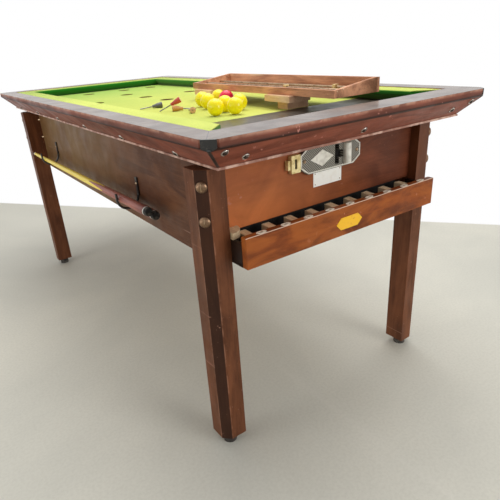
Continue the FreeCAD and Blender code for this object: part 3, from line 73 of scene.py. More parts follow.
class Look:
    """A procedural material whose patterns are laid out in the piece's own metres."""

    def __init__(self, name):
        self.material = bpy.data.materials.new(name)
        self.material.use_nodes = True
        self.shader = self.material.node_tree.nodes["Principled BSDF"]
        self.place = self.add("TexCoord").outputs["Object"]
        self.normal = None

    def add(self, kind, inputs=None, **settings):
        node = self.material.node_tree.nodes.new(f"ShaderNode{kind}")
        for name, setting in settings.items():
            setattr(node, name, setting)
        for socket, value in (inputs or {}).items():
            self.feed(node.inputs[socket], value)
        return node

    def feed(self, socket, value):
        """Link a socket to another node's output, or set it to a constant."""
        if isinstance(value, bpy.types.NodeSocket):
            self.material.node_tree.links.new(value, socket)
        elif socket.type == "RGBA":
            socket.default_value = (*value, 1.0)
        else:
            socket.default_value = value

    def surface(self, **values):
        for name, value in values.items():
            self.feed(self.shader.inputs[SURFACE[name]], value)

    def axes(self):
        """The place along X, Y and Z, as three values."""
        return self.add("SeparateXYZ", {"Vector": self.place}).outputs

    def laid(self, stretch=(1, 1, 1), turn=(0, 0, 0)):
        """The place, stretched along each axis and turned by an angle about each."""
        inputs = {"Vector": self.place, "Scale": stretch, "Rotation": turn}
        return self.add("Mapping", inputs).outputs["Vector"]

    def noise(self, scale, stretch=(1, 1, 1), detail=4.0, rough=0.55, warp=0.0, turn=(0, 0, 0)):
        """Soft random patches, so many to a metre, drawn out along an axis whose stretch is small."""
        inputs = {
            "Vector": self.laid(stretch, turn),
            "Scale": scale,
            "Detail": detail,
            "Roughness": rough,
            "Distortion": warp,
        }
        return self.add("TexNoise", inputs).outputs["Fac"]

    def cells(self, scale):
        """Distance from the nearest of many scattered points, for specks and dents."""
        return self.add("TexVoronoi", {"Vector": self.laid(), "Scale": scale}).outputs["Distance"]

    def ramp(self, value, low, high, start=0.0, end=1.0):
        """A soft step from start to end as the value goes from low to high."""
        inputs = {"Value": value, "From Min": low, "From Max": high, "To Min": start, "To Max": end}
        return self.add("MapRange", inputs, interpolation_type="SMOOTHSTEP").outputs["Result"]

    def band(self, value, low, high, soft):
        """1 between low and high, fading out over the soft width at both."""
        rising = self.ramp(value, low - soft, low + soft)
        return self.times(rising, self.ramp(value, high - soft, high + soft, 1.0, 0.0))

    def calc(self, operation, first, second=0.0):
        return self.add("Math", {0: first, 1: second}, operation=operation).outputs["Value"]

    def times(self, first, second):
        return self.calc("MULTIPLY", first, second)

    def mix(self, share, first, second):
        """The first colour at a share of 0, the second at 1."""
        return self.add("Mix", {0: share, 6: first, 7: second}, data_type="RGBA").outputs[2]

    def bump(self, height, depth):
        """Add relief: a pattern from 0 to 1, this many metres deep."""
        inputs = {"Height": height, "Distance": depth, "Strength": 1.0}
        if self.normal is not None:
            inputs["Normal"] = self.normal
        self.normal = self.add("Bump", inputs).outputs["Normal"]
        self.feed(self.shader.inputs["Normal"], self.normal)


def along_axis(axis, share):
    """A stretch that draws a pattern out along one axis."""
    return tuple(share if letter == axis else 1.0 for letter in "XYZ")


# ---------- Timber

# Painted shade: a near black brown in the groove under the rails' caps and on the legs' chamfers.
PAINTED_SHADE_BROWN = (0.018, 0.006, 0.003)


def wood(name, light, dark, along, rough=0.45, specular=0.2, wear=0.5, blotch=0.5, extra=None):
    """Polished timber: figure along the grain, blotches, dark pores, knocks and scratches."""
    look = Look(name)
    streaks = look.noise(190, along_axis(along, 0.05), detail=7, rough=0.65, warp=0.6)
    figure = look.noise(13, along_axis(along, 0.25), detail=5, warp=1.6)
    pores = look.ramp(look.noise(1300, along_axis(along, 0.05), detail=2), 0.58, 0.72)
    patches = look.noise(5.5, detail=3, warp=0.5)
    tone = look.calc("ADD", look.times(streaks, 0.35), look.times(figure, 0.65))
    colour = look.mix(look.ramp(tone, 0.34, 0.64), dark, light)
    colour = look.mix(look.ramp(patches, 0.45, 0.72, 0.0, blotch), colour, dark)
    colour = look.mix(look.times(pores, 0.45), colour, tuple(c * 0.4 for c in dark))
    if extra is not None:
        colour = extra(look, colour)
    specks = look.ramp(look.cells(75), 0.05, 0.08, 1.0, 0.0)
    scratches = look.ramp(look.noise(70, (1, 0.02, 1), detail=2, turn=(0.5, 0.3, 0.6)), 0.68, 0.72)
    worn_here = look.ramp(look.noise(7, detail=3), 0.45, 0.65)
    marks = look.times(look.calc("MAXIMUM", specks, scratches), worn_here)
    pale = tuple(min(1.0, c * 1.7 + 0.12) for c in light)
    colour = look.mix(look.times(marks, wear), colour, pale)
    smears = look.ramp(look.noise(12, detail=4), 0.3, 0.7, rough * 0.8, rough * 1.3)
    look.surface(colour=colour, rough=smears, specular=specular)
    look.bump(streaks, 0.08 * MM)
    look.bump(look.calc("MAXIMUM", pores, marks), -0.08 * MM)
    return look.material


# A mitre's dark joint: full out to the first distance from its middle, gone at the second.
MITRE_FULL, MITRE_GONE = 0.6 * MM, 1.8 * MM


def mitre_line(look):
    """1 on the thin dark joint between two top rails, which runs from outer to inner corner."""
    axes = look.axes()
    outer, baulk_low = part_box("rail_rear")[1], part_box("baulk_board")[0]
    side_width, front_width = outer.x + baulk_low.x, outer.y + baulk_low.y
    at_front = look.calc("LESS_THAN", axes["Y"], 0.0)
    end_width = look.calc("ADD", side_width, look.times(at_front, front_width - side_width))
    from_side = look.calc("SUBTRACT", outer.x, look.calc("ABSOLUTE", axes["X"]))
    from_end = look.calc("SUBTRACT", outer.y, look.calc("ABSOLUTE", axes["Y"]))
    across = look.times(from_side, end_width)
    along = look.times(from_end, side_width)
    apart = look.calc("ABSOLUTE", look.calc("SUBTRACT", across, along))
    return look.ramp(apart, MITRE_FULL * side_width, MITRE_GONE * side_width, 1.0, 0.0)


CAP_THICKNESS, APRON_HEIGHT = 17 * MM, 49 * MM


def capped(look, colour):
    """A top rail: a glossy dark cap, its upright edge with painted shade low down and a worn arris with a
    painted highlight, a groove under it with painted shadow, and a pale lip that is worn and has a painted
    highlight.
    """
    height = look.axes()["Z"]
    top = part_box("rail_front")[1].z
    under, lip = top - CAP_THICKNESS, top - CAP_THICKNESS - APRON_HEIGHT
    rubbed = look.ramp(look.noise(28, detail=5, warp=0.6), 0.38, 0.62, 0.25, 1.0)
    # Painted shade low on the cap's upright edge, so that it looks rounded.
    shaded = look.ramp(height, under, top - 4 * MM, 0.75, 0.0)
    on_edge = look.ramp(height, under - 0.2 * MM, under + 0.2 * MM)
    colour = look.mix(look.times(on_edge, shaded), colour, (0.07, 0.022, 0.012))
    # The arris: a pale band that is partly wear and partly a painted highlight.
    arris = look.times(look.ramp(height, top - 9 * MM, top - 0.6 * MM), rubbed)
    colour = look.mix(look.times(arris, 0.7), colour, (0.66, 0.36, 0.25))
    # Painted shadow in the groove under the cap.
    groove = look.band(height, under - 5 * MM, under + 1.5 * MM, 1.4 * MM)
    colour = look.mix(look.times(groove, 0.9), colour, PAINTED_SHADE_BROWN)
    # The lip: a pale line that is partly wear and partly a painted highlight.
    on_lip = look.times(look.ramp(height, lip - 0.3 * MM, lip + 1.2 * MM, 1.0, 0.0), rubbed)
    colour = look.mix(look.times(on_lip, 0.85), colour, (0.72, 0.50, 0.40))
    on_top = look.ramp(height, top - 0.5 * MM, top - 0.2 * MM)
    stain = look.ramp(look.noise(9, detail=5, warp=0.8), 0.35, 0.7)
    top_colour = look.mix(stain, (0.17, 0.125, 0.10), (0.075, 0.048, 0.036))
    colour = look.mix(on_top, colour, top_colour)
    look.surface(coat=look.times(on_top, 0.6), coat_rough=0.2)
    return look.mix(look.times(mitre_line(look), on_top), colour, (0.01, 0.006, 0.004))


def chamfered(look, colour):
    """The chamfer down a leg's outer corner is painted darker, as shade."""
    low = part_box("leg_front_left")[0]
    axes = look.axes()
    reach = look.calc("ADD", look.calc("ABSOLUTE", axes["X"]), look.calc("ABSOLUTE", axes["Y"]))
    edge = abs(low.x) + abs(low.y) - LEG_CHAMFER
    # Painted shade: the chamfer is painted near black brown.
    on_facet = look.ramp(reach, edge - 0.8 * MM, edge - 0.2 * MM)
    colour = look.mix(look.times(on_facet, 0.8), colour, PAINTED_SHADE_BROWN)
    lines = look.band(reach, edge - 4 * MM, edge - 1.2 * MM, 0.8 * MM)
    rubbed = look.ramp(look.noise(30, detail=4), 0.42, 0.6, 0.0, 0.5)
    return look.mix(look.times(lines, rubbed), colour, (0.42, 0.2, 0.12))


# The coin works' opening in the front panel, painted black as shade where it shows through the plate's
# slot: x and z.
COIN_OPENING_X, COIN_OPENING_Z = (4 * MM, 46 * MM), (706 * MM, 765 * MM)


def left_light_and_slot_shade(look, colour):
    """The front panel is painted lighter and more orange towards its left end and low down, as light
    falling there, and painted black as shade behind the coin slot.
    """
    axes = look.axes()
    # Painted light: orange over the panel's left and lower part, in soft clouds.
    leftward = look.ramp(axes["X"], -0.34, 0.22, 0.95, 0.0)
    lower = look.ramp(axes["Z"], 0.60, 0.77, 1.0, 0.4)
    cloud = look.ramp(look.noise(6, detail=4, warp=0.8), 0.3, 0.65, 0.5, 1.0)
    share = look.times(look.times(leftward, lower), cloud)
    colour = look.mix(share, colour, (0.78, 0.24, 0.07))
    # Painted shade: black where the coin works show through the slot.
    across = look.band(axes["X"], *COIN_OPENING_X, 0.5 * MM)
    opening = look.times(across, look.band(axes["Z"], *COIN_OPENING_Z, 0.5 * MM))
    return look.mix(opening, colour, (0.006, 0.005, 0.004))


def side_sheen(look, colour):
    """A side panel: a painted olive-brown sheen over its far half, and dark and red towards the player."""
    far = look.ramp(look.axes()["Y"], -0.45, 0.35)
    cloud = look.ramp(look.noise(5, detail=3, warp=0.6), 0.3, 0.65, 0.55, 1.0)
    # Painted reflection: an olive-brown sheen, strongest in the far half.
    return look.mix(look.times(far, cloud), colour, (0.20, 0.115, 0.045))


def board_worn(look, colour):
    """The tray board: brown clouds, and a bright worn line along its top edge."""
    low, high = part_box("tray_front")
    axes = look.axes()
    clouds = look.ramp(look.noise(14, (0.5, 1, 1.4), detail=7, rough=0.6, warp=1.0), 0.38, 0.66)
    colour = look.mix(look.times(clouds, 0.6), colour, (0.46, 0.125, 0.020))
    dirt = look.ramp(look.noise(8, (0.6, 1, 1), detail=6, warp=0.8), 0.56, 0.74)
    colour = look.mix(look.times(dirt, 0.7), colour, (0.085, 0.022, 0.008))
    near_top = look.ramp(axes["Z"], high.z - 1.8 * MM, high.z - 0.8 * MM)
    near_face = look.ramp(axes["Y"], low.y + 1 * MM, low.y + 3 * MM, 1.0, 0.0)
    rim = look.times(near_top, near_face)
    return look.mix(look.times(rim, 0.85), colour, (0.85, 0.66, 0.52))


MAHOGANY_LIGHT, MAHOGANY_DARK = (0.22, 0.060, 0.025), (0.10, 0.026, 0.010)
LEG_LIGHT, LEG_DARK = (0.20, 0.068, 0.027), (0.085, 0.026, 0.009)
SIDE_LIGHT, SIDE_DARK = (0.16, 0.062, 0.026), (0.075, 0.024, 0.009)
APRON_LIGHT, APRON_DARK = (0.29, 0.083, 0.048), (0.13, 0.033, 0.018)
TRAY_LIGHT, TRAY_DARK = (0.28, 0.064, 0.010), (0.13, 0.028, 0.006)
BOARD_LIGHT, BOARD_DARK = (0.80, 0.40, 0.22), (0.36, 0.15, 0.08)
RAW_LIGHT, RAW_DARK = (0.95, 0.66, 0.43), (0.74, 0.44, 0.26)
DIVIDER_LIGHT, DIVIDER_DARK = (0.92, 0.76, 0.50), (0.62, 0.46, 0.27)
PLY_LIGHT, PLY_DARK = (0.62, 0.46, 0.29), (0.42, 0.29, 0.17)
BAULK_LIGHT, BAULK_DARK = (0.085, 0.065, 0.048), (0.03, 0.022, 0.015)
STAIN_LIGHT, STAIN_DARK = (0.030, 0.013, 0.007), (0.012, 0.005, 0.003)

# ---------- Cloth


def cloth(name, worn, unlit_colour, light_and_fade_share, nap=1.0):
    """Napped wool: fine fibres lying along the table, painted light and shade that is partly fading, and a
    soft sheen at an angle.
    """
    look = Look(name)
    fibres = look.noise(2600, along_axis("Y", 0.35), detail=5, rough=0.7)
    weave = look.noise(900, detail=3)
    patches = look.noise(4.5, (1, 0.6, 1), detail=4, warp=0.4)
    # Painted light and shade, partly fading too: the first colour is the lit one, the second the unlit
    # one, mixed by the share.
    share = light_and_fade_share(look, patches)
    colour = look.mix(share, unlit_colour, worn)
    shade = look.ramp(look.calc("ADD", fibres, weave), 0.8, 1.2, 0.0, 0.35)
    colour = look.mix(shade, colour, tuple(c * 0.55 for c in unlit_colour))
    look.surface(colour=colour, rough=0.92, specular=0.15)
    look.surface(sheen=0.35, sheen_rough=0.45, sheen_tint=(0.9, 1.0, 0.5))
    look.bump(fibres, 0.25 * MM * nap)
    return look.material


def bed_light_and_fading(look, patches):
    """Painted light, partly fading too: the bed is painted yellow most towards the player, least at its
    far end, which stays green.
    """
    along_table = look.axes()["Y"]
    lit_and_faded = look.ramp(along_table, -0.1, 1.0, 1.0, 0.1)
    return look.times(lit_and_faded, look.ramp(patches, 0.3, 0.7, 0.72, 1.0))


def cushion_light_and_shade(look, patches):
    """Painted light and shade on a cushion: its top is painted as lit and partly fading, most of all by
    the player, and its face is left dark as shade.
    """
    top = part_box("cushion_left")[1].z
    axes = look.axes()
    lit_and_faded = look.ramp(axes["Z"], top - 3.5 * MM, top - 0.8 * MM, 0.0, 1.0)
    near = look.ramp(axes["Y"], -0.1, 0.9, 1.0, 0.6)
    uneven = look.ramp(patches, 0.3, 0.7, 0.8, 1.0)
    return look.times(look.times(lit_and_faded, near), uneven)


# ---------- Metals and small parts


def metal(name, colour, tarnish, rough=0.35, grain=0.03):
    """Old metal: brushed faintly, with darker tarnish in patches and specks of dirt."""
    look = Look(name)
    patches = look.ramp(look.noise(90, detail=5, warp=0.6), 0.4, 0.65)
    specks = look.ramp(look.noise(900, detail=3), 0.62, 0.72)
    shade = look.calc("MAXIMUM", patches, specks)
    brushed = look.noise(2200, (1, 1, 0.08), detail=2)
    dulled = look.ramp(look.calc("ADD", patches, brushed), 0.3, 1.6, rough * 0.8, rough * 1.5)
    look.surface(colour=look.mix(look.times(shade, 0.75), colour, tarnish), metal=1.0, rough=dulled)
    look.bump(brushed, grain * MM)
    look.bump(look.noise(260, detail=4), grain * MM)
    return look.material


def paint(name, colour, chipped, rough=0.4, coat=0.2):
    """Brushed or dipped paint, with bare chips and a little orange peel."""
    look = Look(name)
    chips = look.ramp(look.noise(210, detail=6, warp=0.8), 0.63, 0.67)
    mottle = look.noise(60, detail=4)
    shaded = look.mix(look.ramp(mottle, 0.3, 0.7, 0.0, 0.45), colour, tuple(c * 0.6 for c in colour))
    look.surface(colour=look.mix(chips, shaded, chipped), rough=rough, coat=coat, coat_rough=0.2)
    look.bump(look.noise(700, detail=3), 0.06 * MM)
    look.bump(chips, -0.1 * MM)
    return look.material


def rubber(name, colour):
    """Perished rubber: fine pits and dusty patches."""
    look = Look(name)
    dust = look.ramp(look.noise(70, detail=5), 0.45, 0.7)
    colour = look.mix(look.times(dust, 0.5), colour, (0.2, 0.18, 0.15))
    look.surface(colour=colour, rough=0.75, specular=0.3)
    look.bump(look.noise(1200, detail=4), 0.12 * MM)
    return look.material


PLATE_THICKNESS = 10 * MM
HATCH_SCALE = 72.0


def plate_face():
    """The flat ground of the coin plate's casting, as a place along Y."""
    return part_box("end_panel_front")[0].y - PLATE_THICKNESS


def cast_alloy(name):
    """Dull cast metal: a dark cross-hatched ground, and a paler raised diamond and guard."""
    look = Look(name)
    hatch = []
    for turn in (math.radians(45), math.radians(-45)):
        vector = look.laid(turn=(0, turn, 0))
        hatch.append(look.add("TexWave", {"Vector": vector, "Scale": HATCH_SCALE}).outputs["Fac"])
    weave = look.times(*hatch)
    ground = plate_face()
    raised = look.ramp(look.axes()["Y"], ground - 1.1 * MM, ground - 0.6 * MM, 1.0, 0.0)
    grime = look.ramp(look.noise(60, detail=5), 0.35, 0.7)
    hatched = look.mix(look.ramp(weave, 0.15, 0.6), (0.05, 0.045, 0.035), (0.50, 0.47, 0.39))
    smooth = look.mix(look.times(grime, 0.6), (0.80, 0.78, 0.70), (0.42, 0.39, 0.32))
    look.surface(colour=look.mix(raised, hatched, smooth), metal=0.25, rough=0.45)
    look.bump(look.times(weave, look.calc("SUBTRACT", 1.0, raised)), 0.5 * MM)
    look.bump(look.noise(800, detail=4), 0.06 * MM)
    return look.material


def plain_alloy(name):
    """The smooth raised border of the casting."""
    look = Look(name)
    grime = look.ramp(look.noise(75, detail=5), 0.4, 0.8)
    look.surface(colour=look.mix(grime, (0.84, 0.82, 0.74), (0.46, 0.42, 0.35)), metal=0.25, rough=0.38)
    look.bump(look.noise(500, detail=4), 0.08 * MM)
    return look.material


# The slot in the slide: its middle along X, half its width and height, and how deep in it the painted
# shade turns it black.
SLIDE_SLOT_X, SLIDE_SLOT_HALF_WIDTH, SLIDE_SLOT_HALF_HEIGHT = -118.5 * MM, 4 * MM, 13 * MM
SLIDE_SLOT_DEPTHS = (3 * MM, 4 * MM)


def slide_brass(name):
    """Worn yellow brass, painted black as shade deep in the slide's own slot."""
    look = Look(name)
    low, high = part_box("coin_slide")
    axes = look.axes()
    deep = look.ramp(axes["Y"], *(low.y + depth for depth in SLIDE_SLOT_DEPTHS))
    from_middle = look.calc("ABSOLUTE", look.calc("SUBTRACT", axes["X"], SLIDE_SLOT_X))
    beside = look.calc("LESS_THAN", from_middle, SLIDE_SLOT_HALF_WIDTH)
    from_level = look.calc("ABSOLUTE", look.calc("SUBTRACT", axes["Z"], (low.z + high.z) / 2))
    level = look.calc("LESS_THAN", from_level, SLIDE_SLOT_HALF_HEIGHT)
    # Painted shade: black deep in the slide's slot.
    inside = look.times(look.times(deep, beside), level)
    patches = look.ramp(look.noise(90, detail=5, warp=0.6), 0.4, 0.7)
    colour = look.mix(patches, (0.88, 0.74, 0.38), (0.56, 0.42, 0.16))
    look.surface(colour=look.mix(inside, colour, (0.012, 0.01, 0.008)), metal=0.3, rough=0.38)
    look.bump(look.noise(900, (1, 1, 0.1), detail=3), 0.04 * MM)
    return look.material


def white_plate(name):
    """A blank enamelled notice with faint foxing."""
    look = Look(name)
    stains = look.ramp(look.noise(55, detail=5), 0.5, 0.75)
    colour = look.mix(look.times(stains, 0.25), (0.97, 0.96, 0.90), (0.72, 0.64, 0.50))
    look.surface(colour=colour, rough=0.35, coat=0.3)
    look.bump(look.noise(300, detail=3), 0.05 * MM)
    return look.material


def tray_plates(name):
    """Bone-coloured tags on the tray board's top, and a painted badge on its face."""
    look = Look(name)
    tag_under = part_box("tray_front")[1].z - 2 * MM
    is_tag = look.calc("GREATER_THAN", look.axes()["Z"], tag_under)
    mottle = look.ramp(look.noise(120, detail=5, warp=0.7), 0.56, 0.72)
    badge = look.mix(mottle, (0.98, 0.53, 0.004), (0.70, 0.30, 0.01))
    tag = look.mix(mottle, (0.90, 0.84, 0.68), (0.60, 0.50, 0.34))
    look.surface(colour=look.mix(is_tag, badge, tag), rough=0.45, coat=0.15)
    look.bump(mottle, 0.15 * MM)
    return look.material


def ball(name, colour, deep):
    """Cast resin, polished, with scuffs from play and a slightly deeper tone in clouds."""
    look = Look(name)
    clouds = look.ramp(look.noise(45, detail=3), 0.4, 0.7)
    scuffs = look.ramp(look.noise(420, detail=5, warp=1.0), 0.6, 0.7)
    look.surface(colour=look.mix(look.times(clouds, 0.5), colour, deep))
    look.surface(rough=look.ramp(scuffs, 0.0, 1.0, 0.25, 0.5), specular=0.3, coat=0.2, coat_rough=0.06)
    look.bump(scuffs, -0.03 * MM)
    return look.material


BOARD_BACK_THICKNESS = 3 * MM
TICK_SPACING, TICK_HALF_WIDTH = 20 * MM, 0.7 * MM


def scales(name):
    """Cream strips ruled with ticks along the table, on the board's stained back."""
    look = Look(name)
    axes = look.axes()
    back_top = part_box("scoreboard_frame")[0].z + BOARD_BACK_THICKNESS
    on_strip = look.calc("GREATER_THAN", axes["Z"], back_top + 0.2 * MM)
    from_tick = look.calc("PINGPONG", axes["Y"], TICK_SPACING / 2)
    ticks = look.calc("LESS_THAN", from_tick, TICK_HALF_WIDTH)
    stains = look.ramp(look.noise(40, detail=5), 0.4, 0.75)
    cream = look.mix(look.times(stains, 0.4), (0.95, 0.86, 0.62), (0.66, 0.5, 0.3))
    ruled = look.mix(look.times(ticks, 0.45), cream, (0.16, 0.1, 0.06))
    look.surface(colour=look.mix(on_strip, (0.30, 0.17, 0.10), ruled), rough=0.5, specular=0.2)
    look.bump(look.noise(600, detail=3), 0.08 * MM)
    return look.material


RING_WIDTH, DOT_RADIUS, GROOVE_SPACING = 1.6 * MM, 1.3 * MM, 4 * MM


def skittle_paint(name, face, body):
    """A skittle's paint, with its bare turned face: rings about a dark dot, in the piece's own axis."""
    look = Look(name)
    axes = look.axes()
    across = look.calc("POWER", axes["X"], 2.0)
    upward = look.calc("POWER", axes["Y"], 2.0)
    radius = look.calc("SQRT", look.calc("ADD", across, upward))
    ringed = look.ramp(look.calc("PINGPONG", radius, RING_WIDTH), 0.3 * MM, 1.2 * MM)
    turned_face = look.mix(look.times(ringed, 0.7), face, tuple(c * 0.45 for c in face))
    dot = look.calc("LESS_THAN", radius, DOT_RADIUS)
    turned_face = look.mix(dot, turned_face, (0.05, 0.03, 0.02))
    on_face = look.calc("LESS_THAN", axes["Z"], 0.6 * MM)
    chips = look.ramp(look.noise(260, detail=5, warp=0.8), 0.6, 0.66)
    painted = look.mix(look.times(chips, 0.7), body, tuple(c * 0.5 for c in face))
    grooved = look.calc("PINGPONG", axes["Z"], GROOVE_SPACING / 2)
    look.surface(colour=look.mix(on_face, painted, turned_face), rough=0.4)
    look.surface(coat=0.25, coat_rough=0.2)
    look.bump(look.ramp(grooved, 0.0, 0.5 * MM), 0.12 * MM)
    look.bump(chips, -0.08 * MM)
    return look.material


def cue_wood(name, splice_start, splice_end, butt_end):
    """Ash shaft with a spliced butt: four long points that interleave, about the cue's own axis."""
    look = Look(name)
    axes = look.axes()
    angle = look.calc("ARCTAN2", axes["Y"], axes["X"])
    half_point = math.pi / 4
    reach = look.ramp(look.calc("PINGPONG", angle, half_point), 0.0, half_point, splice_start, splice_end)
    on_butt = look.calc("LESS_THAN", axes["Z"], reach)
    streaks = look.noise(420, (1, 1, 0.02), detail=5)
    shaft = look.mix(look.ramp(streaks, 0.45, 0.72), (1.0, 0.80, 0.12), (0.96, 0.60, 0.05))
    butt = look.mix(look.ramp(streaks, 0.35, 0.65), (0.42, 0.14, 0.10), (0.22, 0.06, 0.045))
    near_end = look.ramp(axes["Z"], butt_end, butt_end + 60 * MM, 0.5, 0.0)
    butt = look.mix(near_end, butt, (0.12, 0.035, 0.03))
    look.surface(colour=look.mix(on_butt, shaft, butt), rough=0.4, specular=0.25)
    look.surface(coat=0.12, coat_rough=0.12)
    look.bump(streaks, 0.06 * MM)
    return look.material


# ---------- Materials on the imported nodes

RAIL_GRAIN = {"rail_left": "Y", "rail_right": "Y", "rail_front": "X", "rail_rear": "X"}
PANEL_GRAIN = {
    "side_panel_left": ("Y", SIDE_LIGHT, SIDE_DARK, side_sheen),
    "side_panel_right": ("Y", SIDE_LIGHT, SIDE_DARK, side_sheen),
    "end_panel_front": ("X", MAHOGANY_LIGHT, MAHOGANY_DARK, left_light_and_slot_shade),
    "end_panel_rear": ("X", MAHOGANY_LIGHT, MAHOGANY_DARK, None),
    "tray_front": ("X", TRAY_LIGHT, TRAY_DARK, board_worn),
    "tray_floor": ("X", STAIN_LIGHT, STAIN_DARK, None),
}
CORNERS = {"front_left": (-1, -1), "front_right": (1, -1), "rear_left": (-1, 1), "rear_right": (1, 1)}


def dress(material, *names, edge=0.0):
    """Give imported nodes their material, and where edge is set a worn, slightly rounded arris."""
    for name in names:
        node = nodes[name]
        for slot in node.material_slots:
            slot.material = material
        if edge:
            soften(node, edge)


def soften(piece, width):
    """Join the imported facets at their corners, and round the edges between them by this width."""
    weld = piece.modifiers.new("weld", "WELD")
    weld.merge_threshold = 0.01 * MM
    bevel = piece.modifiers.new("worn_edges", "BEVEL")
    bevel.width = width
    bevel.segments = 2
    bevel.limit_method = "ANGLE"
    bevel.angle_limit = math.radians(35)
    smooth = piece.modifiers.new("smooth", "WEIGHTED_NORMAL")
    smooth.keep_sharp = False


def dress_timber():
    for name, along in RAIL_GRAIN.items():
        dress(wood(f"{name}_polish", APRON_LIGHT, APRON_DARK, along, wear=0.8, extra=capped), name)
    for name, (along, light, dark, extra) in PANEL_GRAIN.items():
        dress(wood(f"{name}_polish", light, dark, along, extra=extra), name, edge=0.8 * MM)
    legs = [f"leg_{corner}" for corner in CORNERS]
    dress(wood("leg_polish", LEG_LIGHT, LEG_DARK, "Z", wear=0.7, extra=chamfered), *legs, edge=1.2 * MM)
    baulk = wood("baulk_polish", BAULK_LIGHT, BAULK_DARK, "X", rough=0.34, specular=0.5, wear=0.25)
    dress(baulk, "baulk_board", edge=0.8 * MM)
    plywood = wood("raw_ply", PLY_LIGHT, PLY_DARK, "Y", rough=0.6, wear=0.2)
    dress(plywood, "bed_board", "inner_framing", "return_board")
    raw = wood("raw_pine", RAW_LIGHT, RAW_DARK, "Y", rough=0.6, wear=0.3, blotch=0.3)
    dress(raw, "scoreboard_feet", edge=0.8 * MM)
    dividers = wood("divider_pine", DIVIDER_LIGHT, DIVIDER_DARK, "Y", rough=0.6, blotch=0.3)
    dress(dividers, "tray_dividers")
    board = wood("board_varnish", BOARD_LIGHT, BOARD_DARK, "Y", rough=0.5, wear=0.9)
    dress(board, "scoreboard_frame", edge=1 * MM)


def dress_metalwork():
    iron = paint("black_japan", (0.014, 0.013, 0.012), (0.06, 0.05, 0.04), 0.35, 0.4)
    dress(iron, "corner_caps", "cue_hooks", edge=0.5 * MM)
    bronze = metal("bronzed_steel", (0.42, 0.30, 0.19), (0.16, 0.10, 0.06))
    dress(bronze, "table_bolts", "scoreboard_rods", "small_screws")
    brass = metal("old_brass", (0.80, 0.64, 0.32), (0.4, 0.28, 0.12))
    dress(brass, "cash_lock", "pointer_1", "pointer_2", edge=0.5 * MM)
    dress(slide_brass("slide_brass"), "coin_slide", edge=0.5 * MM)
    # Near black, as painted shade: the works in the table are seen only as the dark behind the coin slot.
    works_shade = paint("works_painted_shade", (0.010, 0.009, 0.008), (0.05, 0.04, 0.03), 0.6, 0.0)
    dress(works_shade, "ball_gate", "coin_head")
    works = paint("works_grey", (0.28, 0.29, 0.3), (0.4, 0.38, 0.35))
    dress(works, "cash_drawer", edge=0.4 * MM)
    dress(cast_alloy("hatched_casting"), "coin_plate", edge=0.6 * MM)
    dress(white_plate("blank_notice"), "instruction_plate")
    dress(tray_plates("tags_and_badge"), "tray_plates", edge=0.3 * MM)


def dress_small_parts():
    dress(rubber("foot_rubber", (0.045, 0.04, 0.036)), *[f"foot_{corner}" for corner in CORNERS])
    dress(paint("liner_brown", (0.34, 0.15, 0.07), (0.12, 0.05, 0.03)), "pocket_liners")
    dress(scales("cream_scales"), "scoreboard_scales", edge=0.4 * MM)
    yellow = ball("yellow_resin", (1.0, 0.87, 0.004), (0.98, 0.66, 0.002))
    dress(yellow, *[f"yellow_ball_{number}" for number in range(1, 8)])
    dress(ball("red_resin", (0.80, 0.012, 0.06), (0.55, 0.004, 0.03)), "red_ball")


# ---------- Making pieces


def placed(name, data):
    """A new object in the scene, with this mesh, lamp or camera in it."""
    thing = bpy.data.objects.new(name, data)
    bpy.context.scene.collection.objects.link(thing)
    return thing


def make_piece(name, points, faces, material, slot, body, replaced=(), place=None):
    """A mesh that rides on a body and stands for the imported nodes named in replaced."""
    mesh = bpy.data.meshes.new(name)
    mesh.from_pydata(points, [], faces)
    mesh.validate()
    mesh.shade_smooth()
    mesh.set_sharp_from_angle(angle=math.radians(38))
    mesh.materials.append(material)
    piece = placed(name, mesh)
    if place is not None:
        piece.matrix_world = place
    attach(piece, body)
    if replaced:
        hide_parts(*replaced)
    return piece


def rounded(profile, radius, steps=3):
    """The profile with each inner corner turned into a short curve."""
    result = [profile[0]]
    for before, corner, after in zip(profile, profile[1:], profile[2:]):
        corner, before, after = Vector(corner), Vector(before), Vector(after)
        reach = min(radius, (corner - before).length / 2.2, (after - corner).length / 2.2)
        start = corner + (before - corner).normalized() * reach
        end = corner + (after - corner).normalized() * reach
        for step in range(steps + 1):
            share = step / steps
            result.append(tuple(start.lerp(corner, share).lerp(corner.lerp(end, share), share)))
    return result + [profile[-1]]


def closed(ring):
    """Each item of a ring with the one after it, and the last with the first."""
    return list(zip(ring, ring[1:] + ring[:1]))


def faces_between(rings):
    """The faces that join each ring of corners to the next: a corner that comes twice counts once."""
    faces = []
    for low, high in zip(rings, rings[1:]):
        for (a, b), (d, c) in zip(closed(low), closed(high)):
            faces.append(tuple(dict.fromkeys((a, b, c, d))))
    return faces


def circle(radius, steps):
    """Places (x, y) round a circle about the origin."""
    angles = (2 * math.pi * step / steps for step in range(steps))
    return [(radius * math.cos(angle), radius * math.sin(angle)) for angle in angles]


def lathe(profile, around=48):
    """Points and faces of a turned form: (radius, distance) from one pole to the other."""
    points, rings = [], []
    for radius, distance in profile:
        first = len(points)
        if radius == 0:
            points.append((0.0, 0.0, distance))
            rings.append([first] * around)
        else:
            points += [(x, y, distance) for x, y in circle(radius, around)]
            rings.append(list(range(first, first + around)))
    return points, faces_between(rings)


